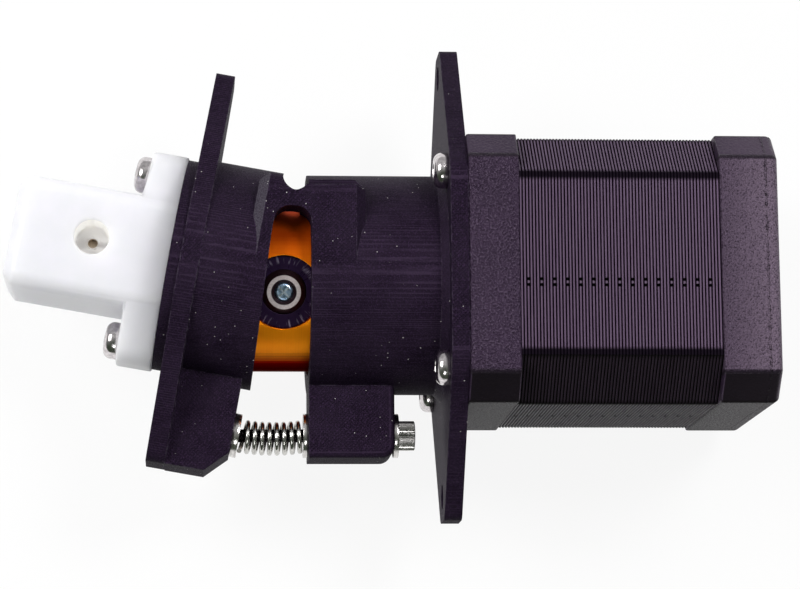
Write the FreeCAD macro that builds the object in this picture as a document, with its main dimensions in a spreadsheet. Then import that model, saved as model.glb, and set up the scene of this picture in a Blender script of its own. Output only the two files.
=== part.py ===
import FreeCAD, Part
import math
import os
import re
import Sketcher

# Metering pump head with its stepper motor.
# Frame: +X runs along the motor axis from the fluid head to the motor, +Z is up
# towards the living hinge, and -Y is the side with the adjuster's near face.
# The origin is the centre of the mounting flange's head-side face.
# All that tilts is modelled square to the motor axis and then turned about the
# living hinge by the tilt angle, which sets the stroke.

DRIVING_SIZES = [
    ("tilt", 10.0, "angle of the head about the living hinge at rest, degrees"),
    ("hinge_x", -23.85, "living hinge axis along X"),
    ("hinge_z", 10.7, "living hinge axis above the motor axis"),
    ("web_thick", 2.5, "living hinge web, thinnest height"),
    ("web_width", 2.0, "living hinge web along X"),
    ("notch_radius", 2.4, "round notch above the web"),
    ("slot_radius", 2.6, "round top of the window below the web"),
    ("slot_foot", 1.0, "how much narrower the window is at its foot, head side"),
    ("barrel_radius", 17.5, "outside of the housing barrel"),
    ("hub_room", 0.7, "radial room round the hub in the rear housing"),
    ("front_hub_room", 1.8, "radial room round the tilted hub in the front housing"),
    ("collar_front", -29.7, "collar round the hinge, front end"),
    ("collar_rear", -12.8, "collar round the hinge, rear end"),
    ("collar_height", 14.6, "top of the collar's flat cheeks"),
    ("collar_bevel", 1.5, "bevel on the collar's ends"),
    ("collar_round", 3.0, "rounding along the collar's upper edges"),
    ("flange_thick", 2.8, "mounting flange"),
    ("flange_half_height", 37.9, "mounting flange, centre to tip"),
    ("flange_half_width", 21.0, "mounting flange, centre to side"),
    ("flange_shoulder", 15.0, "height at which the flange's sides start to taper"),
    ("flange_tip", 3.6, "half width of the flange's tip"),
    ("flange_round", 6.0, "rounding of the flange's shoulders"),
    ("ear_inset", 3.9, "panel hole, centre to the flange's tip"),
    ("ear_hole", 2.0, "radius of a panel hole"),
    ("skirt", 1.2, "fillet cone where the barrel meets the flange"),
    ("lug_half_width", 5.0, "half width of both adjuster lugs"),
    ("rear_lug_length", 13.5, "rear adjuster lug along X"),
    ("rear_lug_foot", -28.2, "underside of the rear adjuster lug"),
    ("lug_round", 2.0, "rounded lower rear corner of the rear lug"),
    ("lug_side_round", 0.9, "rounded upright rear edges of the rear lug"),
    ("screw_z", -24.2, "height of the adjusting screw"),
    ("screw_radius", 1.25, "M2.5 adjusting screw"),
    ("screw_fit", 0.1, "radial clearance round the adjusting screw"),
    ("lug_slot_fit", 0.25, "clearance of the screw in the front lug's slot"),
    ("screw_length", 30.0, "adjusting screw under its head"),
    ("cap_head_radius", 2.35, "socket cap head of the adjusting screw"),
    ("cap_head_height", 2.5, "socket cap head height"),
    ("hex_across", 2.0, "hexagon socket across flats"),
    ("washer_radius", 3.5, "outside of the adjuster washers"),
    ("washer_thick", 0.8, "thickness of the adjuster washers"),
    ("front_washer_hole", 2.15, "wide hole of the washer that tilts with the lug"),
    ("wire_radius", 0.35, "spring wire"),
    ("coil_radius", 2.35, "spring, axis to wire centre"),
    ("coil_count", 8.0, "turns of the spring"),
    ("front_wall", -34.6, "front housing, inner face of its wall"),
    ("plate_rear", -36.6, "front plate, rear face"),
    ("plate_thick", 3.0, "front plate"),
    ("plate_top", 31.2, "front plate, upper end"),
    ("plate_foot", -32.0, "front plate, lower end"),
    ("plate_tip", 5.3, "front plate, half width of its ends"),
    ("boss_thick", 1.8, "round boss under the fluid head"),
    ("boss_step", 0.6, "how much smaller the boss is than the barrel"),
    ("spigot_radius", 7.5, "spigot that centres the fluid head"),
    ("spigot_length", 1.5, "length of that spigot"),
    ("front_lug_rear", -27.0, "front adjuster lug, rear face"),
    ("front_lug_bevel", 3.4, "bevelled lower corner of the front lug"),
    ("lug_slot_z", -25.4, "centre of the screw's slot in the front lug"),
    ("lug_slot_reach", 1.0, "how far that slot's round ends stand from its centre"),
    ("lug_slot_depth", 8.0, "depth of that slot"),
    ("nut_thick", 2.0, "tilt nut"),
    ("nut_height", 8.0, "tilt nut"),
    ("nut_width", 5.5, "tilt nut"),
    ("nut_depth", 1.1, "how far the nut lies inside the lug"),
    ("head_flange_thick", 5.8, "flange of the fluid head"),
    ("head_flange_end", 17.2, "flange of the fluid head, centre to end"),
    ("head_flange_tip", 4.2, "half width of the fluid head's flange ends"),
    ("head_half", 9.0, "half side of the square fluid head"),
    ("head_length", 19.5, "fluid head in front of its flange"),
    ("head_round", 2.5, "rounding of the fluid head's long edges"),
    ("head_bevel", 1.5, "bevel round the fluid head's end"),
    ("head_screw_z", 13.6, "fluid head screws, centre to axis"),
    ("port_x", 12.6, "fluid port, from its centre to the flange face"),
    ("port_radius", 2.7, "fluid port, root of its 1/4-28 thread"),
    ("port_depth", 5.7, "fluid port"),
    ("port_height", 0.6, "fluid ports and their passage, above the piston's axis"),
    ("passage_radius", 0.8, "passage from the port to the liner"),
    ("liner_radius", 3.0, "ceramic liner, outside"),
    ("liner_front", -62.5, "ceramic liner, blind end"),
    ("liner_rear", -45.7, "ceramic liner, open end"),
    ("piston_radius", 2.0, "ceramic piston"),
    ("piston_front", -58.8, "piston tip at mid stroke"),
    ("piston_rear", -31.3, "piston's end in its cap at mid stroke"),
    ("piston_flat", 0.7, "depth of the flat that valves the fluid"),
    ("piston_flat_length", 9.5, "length of that flat"),
    ("piston_fit", 0.015, "radial running clearance of the piston"),
    ("seal_radius", 4.4, "lip seals, outside"),
    ("retainer_radius", 5.2, "seal retainer, outside"),
    ("retainer_thick", 2.3, "seal retainer"),
    ("seal_fit", 0.05, "radial clearance of seals and retainer on the piston"),
    ("ring_section", 0.5, "liner O-ring, section radius"),
    ("groove_width", 1.4, "groove of a liner O-ring"),
    ("liner_wall", 1.3, "blind end of the liner"),
    ("cap_radius", 4.5, "piston cap, outside"),
    ("cap_front", -37.6, "piston cap, front end"),
    ("cap_rear", -17.9, "piston cap, rear end"),
    ("cap_bore_end", -29.1, "end of the piston's bore in the cap"),
    ("cap_slot_x", -23.8, "centre of the drive slot"),
    ("cap_slot_half", 4.4, "half length of the drive slot"),
    ("cap_slot_side", 2.2, "half width of the drive slot"),
    ("ball_x", -25.4, "centre plane of the drive ball"),
    ("ball_orbit", 10.0, "radius on which the drive ball travels"),
    ("ball_radius", 3.95, "drive ball"),
    ("ball_half", 2.95, "half width of the drive ball across its faces"),
    ("ball_fit", 0.04, "radial clearance of the ball in its race"),
    ("race_radius", 5.75, "race of the drive ball, outside"),
    ("race_half", 2.0, "half thickness of the race"),
    ("pin_radius", 1.5, "drive pin"),
    ("pin_inner", 1.5, "drive pin, inner end from the motor axis"),
    ("pin_outer", 12.6, "drive pin, outer end from the motor axis"),
    ("pin_sink", 0.5, "countersink round the pin in the ball's outer face"),
    ("rotor_angle", 15.0, "rest angle of the drive pin below the near side, degrees"),
    ("hub_radius", 13.8, "drive hub cup, outside"),
    ("hub_front", -33.0, "drive hub, open end"),
    ("hub_step", -12.0, "drive hub, where the cup steps down to its boss"),
    ("hub_rear", -4.5, "drive hub, rear end"),
    ("hub_boss", 9.0, "drive hub boss, outside"),
    ("hub_cavity", 7.6, "drive hub cup, inside"),
    ("hub_floor", -16.5, "floor of the drive hub's cup"),
    ("hub_edge", 0.6, "bevel on the drive hub's edges"),
    ("set_screw_radius", 1.5, "set screws of the hub"),
    ("set_screw_x", -8.0, "set screws of the hub, along X"),
    ("shaft_radius", 2.5, "motor shaft"),
    ("shaft_reach", 18.0, "motor shaft beyond the motor face"),
    ("motor_side", 42.3, "motor across its flats"),
    ("bell_front_length", 7.9, "front endbell"),
    ("stack_length", 31.2, "lamination stack"),
    ("bell_rear_length", 9.2, "rear endbell"),
    ("bell_bevel", 4.2, "corner bevel of the endbells"),
    ("stack_side", 42.0, "lamination stack across its flats"),
    ("stack_bevel", 6.7, "corner bevel of the stack"),
    ("rim_round", 1.2, "rounded rear rim of the rear endbell"),
    ("pilot_radius", 11.0, "pilot of the motor face"),
    ("pilot_length", 2.0, "pilot of the motor face"),
    ("bell_room", 18.9, "room for the winding in the endbells, outside"),
    ("bearing_wall", 9.5, "wall round the bearing seats"),
    ("overhang", 4.0, "how far the winding's room reaches into the endbells"),
    ("winding_inner", 14.6, "inner side of the winding slots"),
    ("winding_depth", 4.0, "winding slots, radial depth"),
    ("winding_half_width", 2.2, "winding slots, half width"),
    ("winding_fit", 0.1, "gap between winding and stack"),
    ("end_turn_inner", 15.0, "end turns of the winding, inside"),
    ("end_turn_outer", 18.2, "end turns of the winding, outside"),
    ("core_inset", 2.0, "rotor cores, in from the stack's ends"),
    ("magnet_thick", 2.0, "rotor magnet between the cores"),
    ("magnet_step", 0.6, "how much smaller the magnet is than the cores"),
    ("mount_pitch", 31.0, "square of the motor's screws"),
    ("motor_screw_radius", 1.5, "M3 motor screws"),
    ("pan_radius", 2.8, "pan head of the mounting screws"),
    ("pan_height", 2.2, "pan head of the mounting screws"),
    ("pan_room", 0.3, "room round those heads beside the barrel"),
    ("mount_screw_length", 6.5, "mounting screws under the head"),
    ("rotor_radius", 12.9, "rotor of the motor"),
    ("air_gap", 0.3, "gap between rotor and stack"),
    ("bearing_radius", 8.0, "motor bearings, outside"),
    ("bearing_width", 5.0, "motor bearings"),
    ("inner_ring", 4.0, "motor bearings, outside of the inner ring"),
    ("outer_ring", 6.4, "motor bearings, inside of the outer ring"),
    ("ball_count", 7.0, "balls in each motor bearing"),
    ("socket_width", 16.0, "motor connector along Z"),
    ("socket_depth", 5.5, "motor connector along X"),
    ("socket_reach", 3.6, "motor connector beyond the motor's side"),
]

doc = FreeCAD.newDocument("metering_pump_head")
sheet = doc.addObject("Spreadsheet::Sheet", "Sizes")
for row, (alias, value, note) in enumerate(DRIVING_SIZES, start=1):
    sheet.set(f"A{row}", alias)
    sheet.set(f"B{row}", str(value))
    sheet.set(f"C{row}", note)
    sheet.setAlias(f"B{row}", alias)
doc.recompute()

ALIASES = {alias for alias, value, note in DRIVING_SIZES}
NODES = []
probe = doc.addObject("App::VarSet", "Probe")
probe.addProperty("App::PropertyFloat", "Result")


# Derived places, each an expression of the driving sizes
MOTOR_FACE = "flange_thick"
STACK_FRONT = "(flange_thick + bell_front_length)"
STACK_REAR = "(flange_thick + bell_front_length + stack_length)"
MOTOR_REAR = "(flange_thick + bell_front_length + stack_length + bell_rear_length)"
SLOT_TOP = "(hinge_z - web_thick / 2 - slot_radius)"
NOTCH_FLOOR = "(hinge_z + web_thick / 2 + notch_radius)"
REAR_FACE = "(hinge_x + slot_radius)"
REAR_LUG_END = "(hinge_x + slot_radius + rear_lug_length)"
PLATE_FRONT = "(plate_rear - plate_thick)"
BOSS_FRONT = "(plate_rear - plate_thick - boss_thick)"
HEAD_FACE = "(plate_rear - plate_thick - boss_thick - head_flange_thick)"
HEAD_END = "(plate_rear - plate_thick - boss_thick - head_flange_thick - head_length)"
PORT_X = "(plate_rear - plate_thick - boss_thick - port_x)"
CAVITY = "(hub_radius + hub_room)"
FRONT_CAVITY = "(hub_radius + front_hub_room)"
BOSS_RADIUS = "(barrel_radius - boss_step)"
EAR_Z = "(flange_half_height - ear_inset)"
FAR = "200"


def formula(text):
    """Point each driving size in the text at its cell."""
    return re.sub(r"[a-z_]\w*", lambda word: "Sizes." + word.group(0) if word.group(0) in ALIASES else word.group(0), text)


def size(text):
    """Value of an expression of the driving sizes, worked out now."""
    probe.setExpression("Result", formula(text))
    probe.recompute()
    return probe.Result


def bind(shape, **texts):
    """Bind properties of an object to expressions of the driving sizes."""
    for name, text in texts.items():
        shape.setExpression(name, formula(text))
    return shape


TURN = {
    "x": FreeCAD.Rotation(FreeCAD.Vector(0, 1, 0), 90),
    "-x": FreeCAD.Rotation(FreeCAD.Vector(0, 1, 0), -90),
    "y": FreeCAD.Rotation(FreeCAD.Vector(1, 0, 0), -90),
    "-y": FreeCAD.Rotation(FreeCAD.Vector(1, 0, 0), 90),
    "z": FreeCAD.Rotation(),
}


def place(shape, x, y, z, along="z"):
    """Put an object's origin at a point, with its own Z along the given axis."""
    shape.Placement = FreeCAD.Placement(FreeCAD.Vector(), TURN[along])
    for name, text in (("x", x), ("y", y), ("z", z)):
        shape.setExpression(f"Placement.Base.{name}", formula(text))
    return shape


def cylinder(name, radius, length, x="0", y="0", z="0", along="x"):
    shape = doc.addObject("Part::Cylinder", name)
    bind(shape, Radius=radius, Height=length)
    return place(shape, x, y, z, along)


def tapered(name, radius_near, radius_far, length, x="0", y="0", z="0", along="x"):
    shape = doc.addObject("Part::Cone", name)
    bind(shape, Radius1=radius_near, Radius2=radius_far, Height=length)
    return place(shape, x, y, z, along)


def box(name, length_x, length_y, length_z, x, y, z):
    shape = doc.addObject("Part::Box", name)
    bind(shape, Length=length_x, Width=length_y, Height=length_z)
    return place(shape, x, y, z)


def fuse(name, *shapes):
    shape = doc.addObject("Part::MultiFuse", name)
    shape.Shapes = list(shapes)
    return shape


def group(name, shapes):
    """Several separate solids of one kind."""
    shape = doc.addObject("Part::Compound", name)
    shape.Links = list(shapes)
    return shape


def cut(name, base, *tools):
    shape = doc.addObject("Part::Cut", name)
    shape.Base = base
    shape.Tool = tools[0] if len(tools) == 1 else fuse(name + "_tools", *tools)
    return shape


def common(name, *shapes):
    shape = doc.addObject("Part::MultiCommon", name)
    shape.Shapes = list(shapes)
    return shape


def slot(name, radius, reach, length, x, y, z, along="x"):
    """Round-ended slot, long in Z, cut along X."""
    upper = cylinder(name + "_upper", radius, length, x, y, f"{z} + ({reach})", along)
    lower = cylinder(name + "_lower", radius, length, x, y, f"{z} - ({reach})", along)
    middle = box(name + "_middle", length, f"2 * ({radius})", f"2 * ({reach})", x, f"{y} - ({radius})", f"{z} - ({reach})")
    return fuse(name, upper, lower, middle)


def edges_where(shape, test):
    """Numbers of the edges that pass a test."""
    return [index for index, edge in enumerate(shape.Shape.Edges, start=1) if test(edge)]


def rounded(name, base, radius, test, kind="Part::Fillet"):
    """Round or bevel the edges of an object that pass a test."""
    doc.recompute()
    shape = doc.addObject(kind, name)
    shape.Base = base
    amount = size(radius)
    shape.Edges = [(index, amount, amount) for index in edges_where(base, test)]
    return shape


def lies_along(edge, axis):
    """True for a straight edge that runs along an axis."""
    if edge.Curve.TypeId != "Part::GeomLine":
        return False
    return abs(abs(edge.tangentAt(edge.FirstParameter).dot(axis)) - 1) < 1e-6


ALONG_X = FreeCAD.Vector(1, 0, 0)
ALONG_Y = FreeCAD.Vector(0, 1, 0)
ALONG_Z = FreeCAD.Vector(0, 0, 1)


def origin_plane(body, role):
    return next(feature for feature in body.Origin.OriginFeatures if feature.Role == role)


def outline(body, name, role, points, offset="0"):
    """Closed sketch with each corner held at two expressions of the driving sizes."""
    sketch = body.newObject("Sketcher::SketchObject", name)
    sketch.AttachmentSupport = [(origin_plane(body, role), "")]
    sketch.MapMode = "FlatFace"
    sketch.setExpression("AttachmentOffset.Base.z", formula(offset))
    corners = [FreeCAD.Vector(size(across), size(up), 0) for across, up in points]
    for index, corner in enumerate(corners):
        following = corners[(index + 1) % len(corners)]
        sketch.addGeometry(Part.LineSegment(corner, following), False)
    for index in range(len(corners)):
        sketch.addConstraint(Sketcher.Constraint("Coincident", index, 2, (index + 1) % len(corners), 1))
    for index, (across, up) in enumerate(points):
        hold_corner(sketch, index, "DistanceX", across, corners[index].x, -2)
        hold_corner(sketch, index, "DistanceY", up, corners[index].y, -1)
    return sketch


def hold_corner(sketch, index, kind, text, value, axis):
    """Hold one coordinate of a corner, or put the corner on the axis."""
    if text == "0":
        sketch.addConstraint(Sketcher.Constraint("PointOnObject", index, 1, axis))
        return
    number = sketch.addConstraint(Sketcher.Constraint(kind, -1, 1, index, 1, value))
    sketch.setExpression(f"Constraints[{number}]", formula(text))


def turned(name, points):
    """Piece turned about the X axis, from (x, radius) corners."""
    body = doc.addObject("PartDesign::Body", name)
    sketch = outline(body, name + "_profile", "XZ_Plane", points)
    feature = body.newObject("PartDesign::Revolution", name + "_turned")
    feature.Profile = sketch
    feature.ReferenceAxis = (sketch, ["H_Axis"])
    feature.Angle = 360
    return body


def plate(name, points, start, thickness, role="YZ_Plane"):
    """Flat piece cut from (y, z) corners, standing from start along X."""
    body = doc.addObject("PartDesign::Body", name)
    sketch = outline(body, name + "_outline", role, points, start)
    feature = body.newObject("PartDesign::Pad", name + "_pad")
    feature.Profile = sketch
    bind(feature, Length=thickness)
    return body


def round_corners(body, name, radius, test):
    """Round edges of a body's last feature."""
    doc.recompute()
    last = body.Tip
    feature = body.newObject("PartDesign::Fillet", name)
    feature.Base = (last, [f"Edge{index}" for index in edges_where(last, test)])
    bind(feature, Radius=radius)
    body.Tip = feature
    return body


def keep(shape, name):
    """Take an object as one finished piece of the pump."""
    shape.Label = name
    NODES.append(shape)
    return shape


def tilt_about_hinge(shape):
    """Turn a finished piece about the living hinge by the tilt angle."""
    shape.Placement = FreeCAD.Placement(FreeCAD.Vector(), FreeCAD.Rotation(FreeCAD.Vector(0, 1, 0), 1))
    shape.setExpression("Placement.Rotation.Angle", formula("tilt"))
    shape.setExpression("Placement.Base.x", formula("hinge_x - hinge_x * cos(tilt) - hinge_z * sin(tilt)"))
    shape.setExpression("Placement.Base.z", formula("hinge_z + hinge_x * sin(tilt) - hinge_z * cos(tilt)"))
    return shape


def turn_with_rotor(shape):
    """Turn a finished piece about the motor axis to the rotor's rest angle."""
    shape.Placement = FreeCAD.Placement(FreeCAD.Vector(), FreeCAD.Rotation(FreeCAD.Vector(1, 0, 0), 1))
    shape.setExpression("Placement.Rotation.Angle", formula("rotor_angle"))
    return shape


def pan_screw(name, head_radius, head_height, shank_radius, length, dome, socket):
    """Domed screw along Z: head above the origin, shank below it, hexagon socket on top."""
    head = cylinder(name + "_head", head_radius, head_height, along="z")
    top = size(head_height)
    domed = rounded(name + "_dome", head, dome, lambda edge: edge.BoundBox.ZMin > top - 0.01)
    shank = cylinder(name + "_shank", shank_radius, f"{length}", z=f"-({length})", along="z")
    whole = fuse(name + "_whole", domed, shank)
    hexagon = doc.addObject("Part::Prism", name + "_hexagon")
    hexagon.Polygon = 6
    bind(hexagon, Circumradius=f"{socket} / 1.7320508", Height=head_height)
    place(hexagon, "0", "0", f"{head_height} / 2")
    return cut(name, whole, hexagon)


def ring(name, outside, inside, length, x, y="0", z="0", along="x"):
    """Plain ring or washer."""
    return cut(name, cylinder(name + "_disc", outside, length, x, y, z, along),
               cylinder(name + "_hole", inside, length, x, y, z, along))


def square_with_bevels(name, side, bevel, start, length):
    """Square motor section with bevelled corners."""
    half = f"({side} / 2)"
    inner = f"({side} / 2 - {bevel})"
    signs = [("", "-"), ("", ""), ("-", ""), ("-", "-")]
    corners = []
    for index, (sy, sz) in enumerate(signs):
        first = (f"{sy}{half}", f"{sz}{inner}")
        second = (f"{sy}{inner}", f"{sz}{half}")
        corners += [first, second] if index % 2 else [second, first]
    return plate(name, corners, start, length)


def at_motor_corners(name, make):
    """One object at each corner of the motor's screw square."""
    copies = []
    for index, (sy, sz) in enumerate([(1, 1), (-1, 1), (-1, -1), (1, -1)], start=1):
        copies.append(make(f"{name}_{index}", f"{sy} * mount_pitch / 2", f"{sz} * mount_pitch / 2"))
    return copies


# Rear housing: flange, barrel, collar cheeks and rear lug, printed in black nylon
shoulders = [
    ("flange_half_width", "-flange_shoulder"), ("flange_half_width", "flange_shoulder"),
    ("flange_tip", "flange_half_height"), ("-flange_tip", "flange_half_height"),
    ("-flange_half_width", "flange_shoulder"), ("-flange_half_width", "-flange_shoulder"),
    ("-flange_tip", "-flange_half_height"), ("flange_tip", "-flange_half_height"),
]
flange = plate("flange", shoulders, "0", "flange_thick")
flange_half = size("flange_half_width")
round_corners(flange, "flange_shoulders", "flange_round",
              lambda edge: lies_along(edge, ALONG_X) and abs(edge.CenterOfMass.y) > flange_half - 0.01)
round_corners(flange, "flange_tips", "flange_tip * 0.6",
              lambda edge: lies_along(edge, ALONG_X) and abs(edge.CenterOfMass.z) > size("flange_half_height") - 0.01)


def barrel_stock(name):
    """Barrel with the collar's flat cheeks round the living hinge, uncut."""
    barrel = cylinder(name + "_barrel", "barrel_radius", "-plate_rear", "plate_rear")
    cheeks = box(name + "_cheeks", "collar_rear - collar_front", "2 * barrel_radius", "collar_height",
                 "collar_front", "-barrel_radius", "0")
    top = size("collar_height")
    soft = rounded(name + "_soft_cheeks", cheeks, "collar_round",
                   lambda edge: lies_along(edge, ALONG_X) and edge.CenterOfMass.z > top - 0.01)
    ends = (size("collar_front"), size("collar_rear"))
    beveled = rounded(name + "_beveled_cheeks", soft, "collar_bevel",
                      lambda edge: min(abs(edge.BoundBox.XMin - end) for end in ends) < 0.01
                      and edge.BoundBox.XLength < 0.01 and edge.BoundBox.ZMax > 0.01, "Part::Chamfer")
    return fuse(name, barrel, beveled)


skirt = tapered("skirt_cone", "barrel_radius", "barrel_radius + skirt", "skirt", "-skirt")
rear_lug_block = box("rear_lug_block", "rear_lug_length", "2 * lug_half_width", f"-rear_lug_foot - {CAVITY} - 1",
                     REAR_FACE, "-lug_half_width", "rear_lug_foot")
lug_foot = size("rear_lug_foot")
lug_end = size(REAR_LUG_END)
lug_corner = rounded("rear_lug_corner", rear_lug_block, "lug_round",
                     lambda edge: lies_along(edge, ALONG_Y) and edge.CenterOfMass.z < lug_foot + 0.01
                     and edge.CenterOfMass.x > lug_end - 0.01)
rear_lug = rounded("rear_lug", lug_corner, "lug_side_round",
                   lambda edge: lies_along(edge, ALONG_Z) and edge.CenterOfMass.x > lug_end - 0.01)
rear_stock = fuse("rear_stock", barrel_stock("rear"), flange, skirt, rear_lug)
rear_cavity = cylinder("rear_cavity", CAVITY, FAR, f"-1 - {FAR}")
pilot_hole = cylinder("pilot_hole", "pilot_radius + 0.05", "flange_thick + 2", "-2")
ear_holes = [cylinder(f"ear_hole_{sign}", "ear_hole", "flange_thick + 2", "-1", "0", f"{sign} * {EAR_Z}")
             for sign in (1, -1)]
plate_holes = at_motor_corners("plate_hole", lambda name, y, z: cylinder(
    name, "motor_screw_radius", "flange_thick + 2", "-1", y, z))
driver_ways = at_motor_corners("driver_way", lambda name, y, z: cylinder(
    name, "pan_radius + pan_room", FAR, f"-{FAR}", y, z))
lug_bore = cylinder("lug_bore", "screw_radius + screw_fit", "rear_lug_length + 2", f"{REAR_FACE} - 1", "0", "screw_z")


def hinge_cutters(name, side):
    """Notch above and window top below the web, and all beyond the web's face on one side."""
    notch = cylinder(name + "_notch", "notch_radius", FAR, "hinge_x", f"-{FAR} / 2", NOTCH_FLOOR, "y")
    notch_open = box(name + "_notch_open", "2 * notch_radius", FAR, FAR, "hinge_x - notch_radius", f"-{FAR} / 2", NOTCH_FLOOR)
    window_top = cylinder(name + "_window_top", "slot_radius", FAR, "hinge_x", f"-{FAR} / 2", SLOT_TOP, "y")
    edge = "hinge_x + web_width / 2" if side > 0 else "hinge_x - web_width / 2"
    start = f"{edge} - {FAR}" if side > 0 else edge
    beyond = box(name + "_beyond", FAR, FAR, f"2 * {FAR}", start, f"-{FAR} / 2", f"-{FAR}")
    return [notch, notch_open, window_top, beyond]


window_rear = box("window_rear", FAR, FAR, FAR, f"{REAR_FACE} - {FAR}", f"-{FAR} / 2", f"{SLOT_TOP} - {FAR}")
keep(cut("rear_housing_cut", rear_stock, rear_cavity, pilot_hole, *ear_holes, *plate_holes, *driver_ways, lug_bore,
         window_rear, *hinge_cutters("rear_hinge", 1)), "rear_housing")

# Front housing: barrel, plate, boss and front lug of the same print, on the head side of the web
front_corners = [
    ("barrel_radius", "-plate_tip"), ("barrel_radius", "plate_tip"), ("plate_tip", "plate_top"),
    ("-plate_tip", "plate_top"), ("-barrel_radius", "plate_tip"), ("-barrel_radius", "-plate_tip"),
    ("-plate_tip", "plate_foot"), ("plate_tip", "plate_foot"),
]
front_plate = plate("front_plate", front_corners, PLATE_FRONT, "plate_thick")
plate_half = size("barrel_radius")
round_corners(front_plate, "front_plate_sides", "barrel_radius - 1",
              lambda edge: lies_along(edge, ALONG_X) and abs(edge.CenterOfMass.y) > plate_half - 0.01)
round_corners(front_plate, "front_plate_ends", "plate_tip * 0.4",
              lambda edge: lies_along(edge, ALONG_X) and abs(edge.CenterOfMass.y) < size("plate_tip") + 0.01)
boss = cylinder("boss", BOSS_RADIUS, "boss_thick + 1", BOSS_FRONT)
front_lug_block = box("front_lug_block", "front_lug_rear - plate_rear", "2 * lug_half_width",
                      f"-plate_foot - {FRONT_CAVITY} - 0.8", "plate_rear", "-lug_half_width", "plate_foot")
lug_rear = size("front_lug_rear")
front_lug = rounded("front_lug", front_lug_block, "front_lug_bevel",
                    lambda edge: lies_along(edge, ALONG_Y) and edge.CenterOfMass.x > lug_rear - 0.01
                    and edge.CenterOfMass.z < size("plate_foot") + 0.01, "Part::Chamfer")
front_stock = fuse("front_stock", barrel_stock("front"), front_plate, boss, front_lug)
front_cavity = cylinder("front_cavity", FRONT_CAVITY, FAR, "front_wall")
front_hole = cylinder("front_hole", "spigot_radius", FAR, f"front_wall + 1 - {FAR}")
lug_slot = slot("lug_slot", "screw_radius + lug_slot_fit", "lug_slot_reach", "lug_slot_depth + 1",
                "front_lug_rear - lug_slot_depth", "0", "lug_slot_z")
NUT_X = "(front_lug_rear - nut_depth - nut_thick)"
nut_pocket = box("nut_pocket", "nut_thick", "nut_width", "nut_height", NUT_X, "-nut_width / 2", "lug_slot_z - nut_height / 2")
head_screw_holes = [cylinder(f"head_screw_hole_{sign}", "motor_screw_radius", FAR, f"front_wall + 1 - {FAR}", "0",
                             f"{sign} * head_screw_z") for sign in (1, -1)]

# The window's front edge leans, so the gap is narrower at its foot
window_front = doc.addObject("PartDesign::Body", "window_front")
window_sketch = outline(window_front, "window_front_outline", "XZ_Plane", [
    ("hinge_x - slot_radius", SLOT_TOP), ("hinge_x - slot_radius", f"{SLOT_TOP} - slot_radius"),
    ("hinge_x - slot_radius + slot_foot", "-barrel_radius"),
    ("hinge_x - slot_radius + slot_foot", "plate_foot - 20"), ("hinge_x + 40", "plate_foot - 20"),
    ("hinge_x + 40", SLOT_TOP)], f"-{FAR} / 4")
window_pad = window_front.newObject("PartDesign::Pad", "window_front_pad")
window_pad.Profile = window_sketch
bind(window_pad, Length=f"{FAR} / 2")
front_hollow = cut("front_hollow", front_stock, front_cavity, front_hole, lug_slot, nut_pocket, *head_screw_holes)
front_housing = front_hollow
for index, cutter in enumerate([window_front] + hinge_cutters("front_hinge", -1), start=1):
    front_housing = cut(f"front_cut_{index}", front_housing, cutter)
    front_housing.Refine = False
tilt_about_hinge(keep(front_housing, "front_housing"))


# Living hinge: the thin bent web between the two housings, on both sides of the hub
def living_hinge_shape():
    """Web with round flanks, its front face tilted with the head."""
    turn = FreeCAD.Rotation(FreeCAD.Vector(0, 1, 0), size("tilt"))
    half_turn = FreeCAD.Rotation(FreeCAD.Vector(0, 1, 0), size("tilt / 2"))
    centre = FreeCAD.Vector(size("hinge_x"), 0, size("hinge_z"))
    half = size("web_width / 2")
    thin = size("web_thick / 2")
    notch = size("notch_radius")
    window = size("slot_radius")
    upper = thin + notch - math.sqrt(notch ** 2 - half ** 2)
    lower = thin + window - math.sqrt(window ** 2 - half ** 2)
    front_top = centre + turn.multVec(FreeCAD.Vector(-half, 0, upper))
    front_low = centre + turn.multVec(FreeCAD.Vector(-half, 0, -lower))
    rear_top = centre + FreeCAD.Vector(half, 0, upper)
    rear_low = centre + FreeCAD.Vector(half, 0, -lower)
    top_middle = centre + half_turn.multVec(FreeCAD.Vector(0, 0, thin))
    low_middle = centre + half_turn.multVec(FreeCAD.Vector(0, 0, -thin))
    edges = [
        Part.LineSegment(front_low, front_top).toShape(),
        Part.Arc(front_top, top_middle, rear_top).toShape(),
        Part.LineSegment(rear_top, rear_low).toShape(),
        Part.Arc(rear_low, low_middle, front_low).toShape(),
    ]
    width = 2 * size("barrel_radius")
    face = Part.Face(Part.Wire(edges))
    face.translate(FreeCAD.Vector(0, -width / 2, 0))
    web = face.extrude(FreeCAD.Vector(0, width, 0))
    room = Part.makeCylinder(size(FRONT_CAVITY), width, FreeCAD.Vector(-width, 0, 0), ALONG_X)
    return web.cut(room)


living_hinge = doc.addObject("Part::Feature", "living_hinge_web")
living_hinge.Shape = living_hinge_shape()
keep(living_hinge, "living_hinge")

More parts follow.
